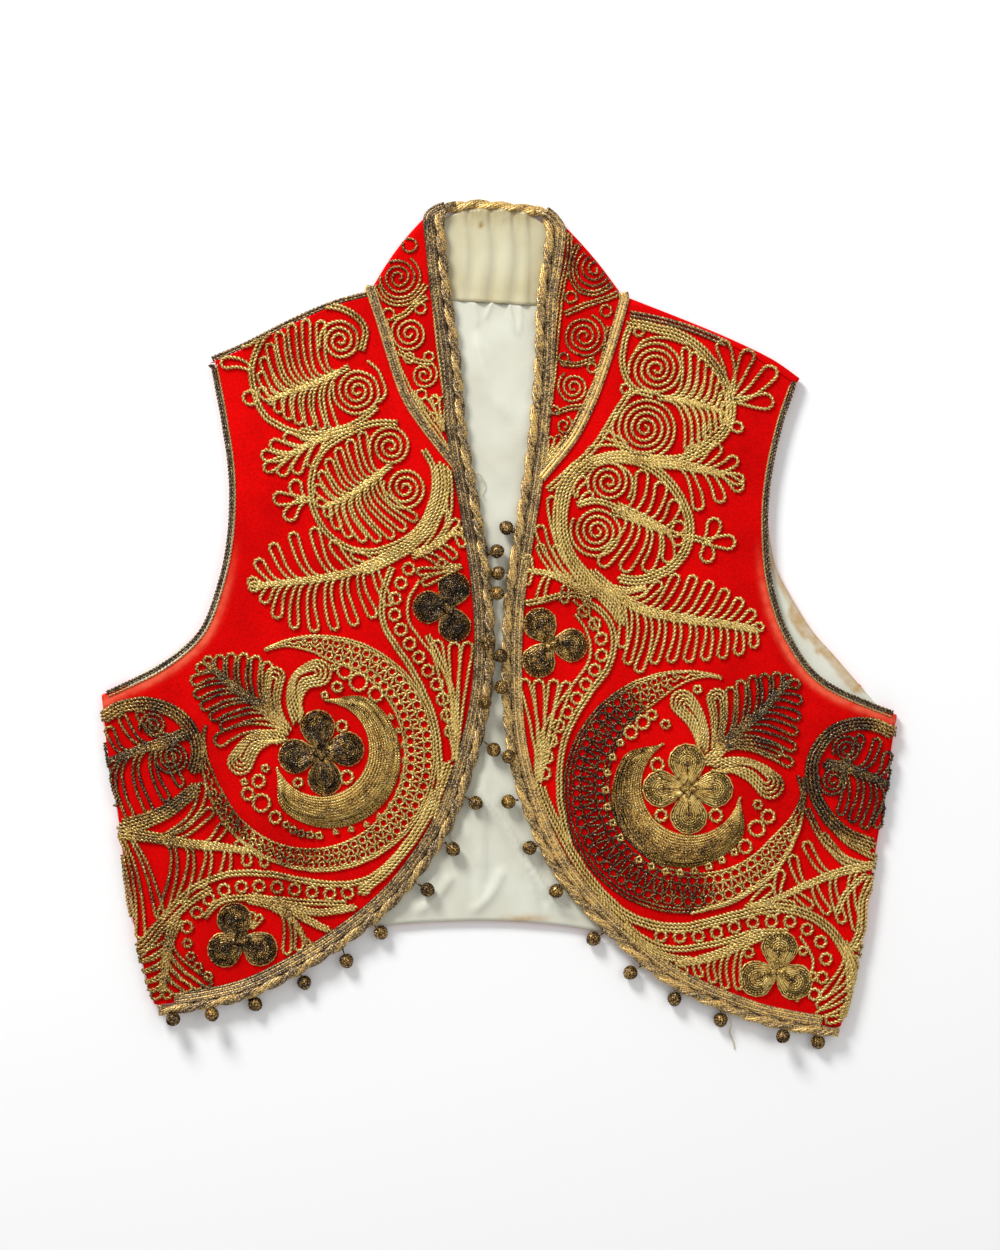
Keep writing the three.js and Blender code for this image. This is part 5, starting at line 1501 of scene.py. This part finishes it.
# ---------- the left front ----------
def left_front():
    lines = []
    # upper medallion
    lines += spiral((85.5, 148.3), 15.2, 190, 1)
    lines += spiral((79.5, 116), 18.2, 150, -1)
    lines += feather([(86, 133), (100, 131), (112, 128), (123, 124)],
                     [(101.5, 160.5), (107.5, 157), (113, 152), (117.5, 147), (121.5, 140), (123.5, 131)],
                     [(103, 103.5), (109.5, 107), (114, 111.5), (118, 115), (122, 118.5)], (8, 7), 4.4)
    lines += strands([(69, 174), (84, 171), (97, 167.5), (108, 161), (117, 151), (123, 141), (126, 129),
                      (125, 118),
                      (118, 109), (106, 101.5), (94, 98.5), (80, 98.5)], 3, 1.9)
    lines += strands([(74, 158), (79, 164), (90, 165.5), (102, 162)], 1)
    lines += strands([(71, 172), (67.5, 160), (67.5, 148), (73, 138), (84, 133.5)], 2, 1.9)
    lines += strands([(69, 132), (77, 136.5), (88, 134)], 1)
    lines += [ring((76, 169), 2.6), ring((68.8, 137.5), 2.7)]
    # fan at the shoulder
    lines += fan((126.5, 134), [(121, 163.5), (136.5, 158)], 7.6)
    lines += fan((129, 131), [(150, 149), (148.5, 130.5)], 8.6)
    lines += strands([(127, 131), (126, 124), (124, 118)], 3, 1.9)
    lines += [finger((124.5, 119), (127, 118), (132.5, 115), 5.6)]
    # sprig
    lines += feather([(80, 98.5), (100, 95.5), (113, 93), (124, 90)],
                     [(107, 107), (123, 106.5), (130, 99), (133, 87)],
                     [(109, 71), (122.5, 76), (132, 82)], (4, 3), 6.0, 0.35, 4, 0.35)
    lines += strands([(49, 97), (64, 100.5), (80, 99), (98, 96)], 4, 1.8, 0.8)
    lines += [finger((72, 103), (62, 106), (48, 102), 6.5), finger((70, 107), (63, 110), (57, 113.5), 4.6)]
    lines += strands([(71, 136), (62, 122), (52, 106), (37, 92), (26, 82)], 2, 2.4)
    # lower medallion
    lines += spiral((59.5, 86.5), 11.6, 200, 1)
    lines += spiral((53, 59.5), 14.6, 150, -1)
    lines += feather([(60, 73), (72, 68.5), (83, 63.5), (94, 58)],
                     [(78, 93.5), (91, 85), (98, 74.5), (99.5, 65)],
                     [(54, 40.5), (66, 37.5), (80, 37.5), (92, 43), (99, 53)], (4, 5), 6.8, 0.5, 5, 0.12)
    lines += strands([(64, 96), (70.5, 92), (72.5, 85), (70, 77)], 1)
    lines += strands([(42, 74), (50, 76), (58, 75), (66, 71)], 2, 1.9)
    lines += strands([(44, 92), (52, 98.5), (64, 99.5), (78, 97), (90, 89), (98.5, 78), (103.5, 65),
                      (102.5, 52),
                      (96, 42), (86, 35.5), (74, 32.5), (64, 34)], 3, 1.9)
    lines += strands([(46, 97), (38, 88), (33.5, 75), (33, 60), (37, 47), (46, 35), (56, 25), (64, 16),
                      (68, 8)],
                     5, 1.9, 0.75)
    lines += [finger((42, 78), (40, 84), (47, 89), 4.4), finger((44, 74), (45, 78), (51, 80), 4.0)]
    # open flower
    lines += fan((111.5, 54), [(117.5, 66.5), (128, 53.5), (112, 42.5)], 7.6)
    lines += strands([(100, 56), (106, 56), (112, 54)], 2, 2.0)
    # low plume
    lines += feather([(48, 38), (64, 25), (80, 16), (102, 11.5), (124, 8.5), (143, 5)],
                     [(80, 27), (88.5, 32), (98, 36.5), (108, 35), (118.5, 31), (128.5, 25), (137.5, 18.5),
                      (144, 8)],
                     [(66.5, -4), (72, -18), (84, -13), (95.5, -12.5), (107, -12), (118, -10.5),
                      (128.5, -9), (138.5, -4.5)],
                     (9, 10), 5.0, 0.35, 4, 0.16)
    lines += strands([(56, 30), (68, 27), (80, 29)], 3, 1.8, 0.5)
    # leaves beside the front's edge
    lines += [finger((36, 42), (29, 58), (28.5, 78), 5.2), finger((40, 32), (26, 44), (21.5, 62), 5.4)]
    lines += feather([(52, 24), (40, 30), (28, 36), (16, 38)], [(48, 18), (32, 20), (18, 22), (14, 30)],
                     [(30, 52), (22, 53), (15, 47)], (4, 3), 4.4, 0.3, 3)
    lines += strands([(50, 22), (38, 25), (24, 22), (14, 20)], 2, 2.0)
    lines += strands([(40, 22), (50, 12), (55, 2)], 1)
    # chest chain
    lines += chain([(46, 16), (53.5, 6), (56, -6), (51, -18), (44.5, -28), (38, -38), (31.5, -48),
                    (26.5, -60),
                    (24.5, -73)], 12, 3.1)
    lines += strands([(46, 22), (58, 13), (62.5, 0), (59, -15), (49, -29), (41, -42), (35, -56), (32.5, -72),
                      (33, -90), (38, -112)], 2)
    lines += strands([(41, 14), (48, 4), (49, -10), (41, -23), (32, -35), (24, -48), (20, -60), (19.5, -74),
                      (23, -92)], 1)
    lines += fan((21.5, -78), [(13, -22), (21, -22.5), (29.5, -22.5), (37, -23.5)], 5.6)
    # sprays inside it
    lines += feather([(112, -69), (128, -52), (144, -38), (158, -22)],
                     [(126, -26), (134, -21), (142, -19), (150, -18), (158, -19)],
                     [(160, -68), (162, -58), (163, -47), (165, -36), (164, -25)], (6, 6), 5.0, 0.4, 4)
    lines += leaf((111, -62), (112, -46), (96, -30), 13.0, 4)
    lines += leaf((117, -60), (121, -46), (118, -28), 10.0, 3)
    lines += leaf((115, -70), (134, -64), (152, -84), 14.0, 4)
    lines += [finger((122, -58), (135, -54), (154, -62), 6.0)]
    for place, radius in (((78, -45), 3.6), ((71.5, -50.5), 3.3), ((83, -41), 2.6), ((90.5, -46), 2.2),
                          ((134, -113), 3.6), ((140.5, -103), 4.2), ((146.5, -96.5), 3.4), ((141, -90), 2.2),
                          ((108, -27), 2.0), ((86, -68), 3.4), ((88, -96), 3.0), ((118, -96), 3.2)):
        lines.append(ring(place, radius))
    lines += chain([(66, -56), (60, -68), (58, -82), (60, -96), (66, -108)], 7, 1.6)
    lines += chain([(76, -120), (88, -126), (102, -127), (116, -123), (128, -116)], 8, 1.6)
    # side palmette and fern
    lines += strands([(217, -52), (205, -46.5), (191, -46.5), (179, -53), (171.5, -65), (171, -78),
                      (175, -90),
                      (187, -104.5), (206, -113)], 4, 1.9)
    lines += spiral((190, -60), 8.0, 200, 1, 2.8)
    lines += spiral((182.5, -77), 8.4, 160, -1, 2.8)
    lines += feather([(176, -68), (190, -70), (203, -75), (214, -80)],
                     [(186, -96), (196, -102), (204, -104), (210, -97)],
                     [(198, -52), (206, -53), (212, -60), (215, -70)], (5, 4), 4.6, 0.5, 4)
    lines += strands([(205, -124), (190, -120), (176, -108), (168, -92)], 2, 2.2)
    lines += strands([(207, -120), (192, -112), (180, -100), (173, -90)], 2, 1.9)
    lines += feather([(206, -123), (186, -127), (168, -134), (150, -142), (134, -146)],
                     [(196, -160), (186, -154), (176, -148), (166, -146), (154, -149)],
                     [(176, -106), (167, -110), (160, -117), (154, -125), (150, -134)], (6, 5), 4.8, 0.3, 3)
    lines += strands([(205, -128), (199, -142), (197, -160), (192, -170)], 3, 1.9, 0.8)
    lines += strands([(201, -128), (190, -138), (184, -150)], 2, 1.9)
    lines += strands([(163, -74), (166, -92), (160, -112), (148, -130), (128, -142), (104, -150)], 1)
    # corner
    lines += strands([(22, -79), (25, -88), (30.5, -100), (37.5, -113), (45, -125.5), (52, -134.5),
                      (59.5, -142.5), (67, -149), (76, -153.5), (88, -156.8), (104, -157),
                      (128, -151), (150, -146.5), (168, -150), (182, -160), (191, -176), (192, -196)], 3, 1.9)
    lines += chain([(88, -162), (100, -162.5), (113, -161.5), (125, -158), (136, -155), (148, -154),
                    (160, -154.5),
                    (171, -160.5), (178, -170), (177, -183), (172, -194)], 13, 3.0)
    lines += strands([(54, -140), (62, -148.5), (70, -156.5), (78, -163), (88, -167.8), (99, -169),
                      (110, -167.5), (124, -164.5),
                      (140, -160), (158, -159.5)], 2)
    lines += strands([(66, -155.5), (74, -163), (83, -169.5), (94, -174), (106, -175)], 3, 1.8, 0.6)
    lines += strands([(164, -162), (171, -174), (169, -186), (162, -198)], 1)
    lines += feather([(146, -160), (134, -165), (121, -171.5), (107, -175.5), (95, -177.5)],
                     [(131, -191), (122, -190.5), (113, -185.5), (103, -183)], [], (5, 0), 4.2, 0.5, 4)
    lines += feather([(186, -164), (193, -178), (192, -194), (186, -208)], [(200, -172), (198, -190)],
                     [(176, -196), (172, -204), (178, -208)], (3, 4), 4.2, 0.3, 4)
    lines += strands([(196, -166), (199, -178), (196, -196), (190, -210)], 2, 2.0)
    for place, radius in (((136, -171), 2.6), ((166, -170), 2.2), ((171, -184), 2.2)):
        lines.append(ring(place, radius))
    return lines


# ---------- the collar ----------
def right_collar():
    lines = []
    lines += spiral((-55.5, 198.5), 12.4, 60, 1, 3.3)
    lines += spiral((-49.6, 167.8), 10.2, 110, -1, 3.3)
    lines += spiral((-41.6, 145.1), 7.6, 60, 1, 3.0)
    for place, radius in (((-49.5, 216.2), 3.8), ((-61, 178.4), 3.2), ((-43.6, 181.7), 3),
                          ((-49.6, 154.4), 2.8),
                          ((-39, 155.1), 2.6), ((-43, 134.5), 2.8), ((-36, 131), 2.4), ((-36.5, 122), 2.4)):
        lines.append(ring(place, radius))
    lines += strands([(-67.5, 194.5), (-63.8, 187.6), (-57.2, 184.3), (-49.5, 185.4), (-44, 189.8),
                      (-40.5, 195)], 2, 2.0)
    lines += strands([(-40, 188), (-46.2, 183.7), (-52.8, 178.2), (-58.5, 176)], 2, 1.9)
    lines += strands([(-39, 220), (-37, 200), (-35, 178), (-33, 158), (-30, 136), (-26.5, 112)], 2, 2.0)
    lines += strands([(-62, 176), (-58, 160), (-51, 142), (-42, 126), (-32, 112)], 1)
    lines += strands([(-56, 158), (-46, 153), (-38, 152)], 2, 1.9)
    lines += fan((-31, 114), [(-42, 132), (-36, 134), (-31, 133)], 3.6)
    lines += strands([(-48, 136), (-40, 122), (-32, 110), (-27, 102)], 2, 1.9)
    return lines


def left_collar():
    lines = []
    lines += spiral((51.7, 203), 10.4, 120, -1, 3.3)
    lines += spiral((46, 166.5), 12.2, 70, 1, 3.3)
    lines += spiral((40.2, 138.5), 8.8, 120, -1, 3.0)
    lines += spiral((35, 117.5), 5, 70, 1, 2.6)
    for place, radius in (((38.8, 187.7), 3.2), ((58, 180.4), 3), ((35, 154.4), 2.8), ((50.5, 149), 2.6),
                          ((34, 103), 2.4), ((30, 126), 2.4)):
        lines.append(ring(place, radius))
    lines += strands([(35.5, 178.5), (47.3, 183.7), (58.3, 187), (65.5, 190.5)], 2, 2.0)
    lines += strands([(43, 217), (39.4, 208.5), (38.8, 201.3), (40.4, 195.8), (44.2, 191.6), (50.6, 190),
                      (57.2, 192),
                      (63, 196.5)], 2, 2.0)
    lines += strands([(38.4, 223), (37.6, 209), (34.6, 196), (32, 178), (30, 156), (28, 136), (25, 112),
                      (24, 96)], 2, 2.0)
    lines += strands([(60, 172), (57, 156), (51, 138), (42, 120), (32, 104), (25, 95)], 2, 2.0)
    lines += strands([(33, 152), (42, 151), (52, 154)], 2, 1.9)
    lines += strands([(48, 128), (38, 127), (30, 124)], 2, 1.9)
    lines += fan((26, 98), [(38, 110), (33, 112), (28, 111)], 3.6)
    return lines


# ---------- the embroidery, laid on the cloth ----------
UNTARNISHED = 0.12  # the level away from every patch
WANDER = {"by": 0.35, "over": 7}  # how far a hand-laid line strays, and over what length
LOOSE_THREAD = 0.3  # half a sewing thread's thickness
# How tarnished the thread is: patches with a centre, a reach and a level.
TARNISH = records(
    "x y reach level",
    (-182, -66, 34, 0.86),
    (-206, -70, 30, 0.9),
    (-188, -38, 22, 0.72),
    (186, -48, 20, 0.9),
    (188, -76, 34, 1.0),
    (212, -80, 30, 1.0),
    (-148, -30, 24, 0.9),
    (148, -40, 26, 1.0),
    (131, -54, 11, 0.85),
    (-190, -125, 28, 0.62),
    (-175, -180, 28, 0.6),
    (-120, -146, 22, 0.5),
    (-150, -96, 14, 0.75),
    (-112, -112, 16, 0.62),
    (-124, 168, 22, 0.45),
    (130, 158, 20, 0.5),
    (-75, 175, 14, 0.4),
    (-56, 208, 24, 0.65),
    (50, 202, 26, 0.75),
    (44, 160, 20, 0.6),
    (34, 120, 14, 0.5),
    (40, 20, 14, 0.45),
    (-34, 42, 12, 0.5),
)
# The left net is dark besides.
NET_TARNISH = records(
    "x y reach level",
    (62, -130, 36, 1.1),
    (42, -90, 36, 1.1),
    (60, -48, 28, 1.0),
    (98, -146, 24, 0.8),
)


def tarnish(x, y, patches=tuple(TARNISH)):
    level = UNTARNISHED
    for patch in patches:
        off = hypot(x - patch["x"], y - patch["y"]) / patch["reach"]
        if off < 2:
            level = mix(level, patch["level"], bell(off * off))
    return clamp(level + 0.28 * rough(x, y, 14, 1.0), 0.0, 1.0)


def net_tarnish(x, y):
    return tarnish(x, y, (*TARNISH, *NET_TARNISH))


def wavering(x, y):
    """A hand-laid line's small wander."""
    return tuple(WANDER["by"] * rough(x, y, WANDER["over"], seed) for seed in (11.0, 23.0))


def couched(name, motifs, half=CORD, surface=over_front, dull=tarnish):
    """Gilt cord laid along the motifs, on the cloth that surface finds."""
    lines = []
    for motif in motifs:
        run = []
        for p in spaced(motif, step=1.05):
            dx, dy = wavering(p[0], p[1])
            up = p[2] if len(p) > 2 else 0.0
            run.append(surface(p[0] + dx, p[1] + dy, VELVET / 2 + 0.8 * half + up))
        lines.append((run, half, dull))
    return cords(name, lines, GILT, "gold", kind="twisted", pitch=COUCHED_PITCH)


def on_front(p):
    """Whether a place lies within a front's shoulder."""
    side = "right" if p[0] < 0 else "left"
    edge = SHOULDER["right"] if side == "right" else SHOULDER_SEAM
    return abs(p[0]) < abs(edge[0][0]) or p[1] < y_at(edge, p[0]) - (2.8 if side == "right" else -9)


def on_collar(p):
    """Whether a place lies inside the collar's fold."""
    return inside_fold(p[0], p[1]) > COLLAR_MARGIN


def kept(motifs, wanted):
    """The parts of the motifs whose places are wanted."""
    runs = []
    for motif in motifs:
        run = []
        for p in [*spaced(motif, step=0.6), None]:
            if p and wanted(p):
                run.append(p)
                continue
            if len(run) > 5:
                runs.append(run)
            run = []
    return runs


def split_at(motifs, y):
    """Motifs whose middles lie above a height, and the rest."""
    high, low = [], []
    for motif in motifs:
        middle = sum(p[1] for p in motif) / len(motif)
        (high if middle > y else low).append(motif)
    return high, low


# Loose sewing threads: x, y and height of each bend.
LOOSE = [
    [(125.5, -206, 5), (127, -211, 3), (126.4, -216, 1.2), (128.4, -221, 0.8), (129, -225, 0.6)],
    [(-15, 92, 8), (-10.5, 90, 5.5), (-8.6, 85, 4.8), (-10.6, 81.5, 5.2), (-9, 79, 5.6)],
    [(-29.5, -97, 7), (-25.6, -102, 4.6), (-27.2, -107, 4.8), (-24.4, -111, 5.2)],
]


def loose_threads():
    lines = [(spaced(flowing(points)), LOOSE_THREAD, 0.0) for points in LOOSE]
    return cords("loose sewing threads", lines, COLLAR_SATIN, "satin")


# A moon of net on each front: two circles as centre and radius, and the bearings of its ends.
NETS = {
    "right": (((-99, -62), 64.4), ((-104, -62.5), 52), (166, 478)),
    "left": (((101, -83), 66), ((109, -78), 49.8), (72, 367)),
}


# ---------- the vest ----------
rng = random.Random(18)
pieces = {side: front(side) for side in SIDES}
pieces["back"] = back()
pieces["shoulder"] = shoulder_turn()
pieces["lining"] = lining()
pieces["collar"] = collar()
pieces["collar lining"] = collar_lining()
rope("rope right", rope_path("right"), (0.58, 0.3), "rope_right")
rope("rope left", rope_path("left"), (0.42, 0.18), "rope_left")
neck_path = spaced([(x, y, ROPE_NECK_Z) for x, y in along(ROPE_NECK, 30)], step=1.2)
rope("rope neck", neck_path, (0.15, 0.05), "rope_neck")
for side in SIDES:
    band(side)
    armhole_cord(side)
    collar_cord(side)
    moon(side)
shoulder_cords()
for flower_name, flower_size in FLOWER.items():
    flower(flower_name, flower_size)
for side in SIDES:
    for number in range(1, BUTTONS_A_SIDE + 1):
        label = f"button_{side}_{number:02d}"
        ball_button(f"button {side} {number}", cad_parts[label], rng)
embroidery = (("right", right_front(), right_collar()), ("left", left_front(), left_collar()))
for side, motifs, collar_motifs in embroidery:
    for part, chosen in zip(("upper", "lower"), split_at(kept(motifs, on_front), UPPER_FROM)):
        couched(f"couched cord {side} {part}", chosen)
    couched(f"couched cord net {side}", net_moon(*NETS[side]), half=NET_CORD, dull=net_tarnish)
    couched(f"couched cord collar {side}", kept(collar_motifs, on_collar), half=COLLAR_CORD,
            surface=over_collar)
loose_threads()

# ---------- floor, light and camera ----------
work = bmesh.new()
bmesh.ops.create_grid(work, x_segments=1, y_segments=1, size=3)
floor_mesh = meshed(work, "floor")
floor = bpy.data.objects.new("floor", floor_mesh)
bpy.context.scene.collection.objects.link(floor)
paper, paper_tree, paper_shader, _ = blank("matt white paper")
paper_shader.inputs["Base Color"].default_value = colour("#FCFCFC")
paper_shader.inputs["Roughness"].default_value = 1.0
paper_shader.inputs["Specular IOR Level"].default_value = 0.0
floor_mesh.materials.append(paper)

bpy.context.scene.view_settings.view_transform = "Standard"
world = bpy.data.worlds.new("studio")
world.use_nodes = True
world.node_tree.nodes["Background"].inputs["Color"].default_value = colour("#FFFFFF")
world.node_tree.nodes["Background"].inputs["Strength"].default_value = 0.5
bpy.context.scene.world = world


def soft_light(name, place, size, power):
    lamp = bpy.data.lights.new(name, "AREA")
    lamp.shape = "DISK"
    lamp.size = size
    lamp.energy = power
    holder = bpy.data.objects.new(name, lamp)
    holder.location = place
    holder.rotation_mode = "QUATERNION"
    holder.rotation_quaternion = (-Vector(place)).to_track_quat("-Z", "Y")
    bpy.context.scene.collection.objects.link(holder)


# The lamps: place and size in metres, power in watts.
LAMPS = records(
    "name place size power",
    ("key", (-0.9, 1.5, 1.15), 0.7, 39),
    ("fill", (0.9, 0.2, 1.5), 1.2, 4.5),
)
for light in LAMPS:
    soft_light(**light)

lens = bpy.data.cameras.new("camera")
lens.lens = 85
lens.sensor_width = 36
camera = bpy.data.objects.new("camera", lens)
distance = FRAMED_HEIGHT * MM * lens.lens / lens.sensor_width
camera.location = (SHIFT[0] * MM, (AIM_Y + SHIFT[1]) * MM, distance)
bpy.context.scene.collection.objects.link(camera)
bpy.context.scene.camera = camera
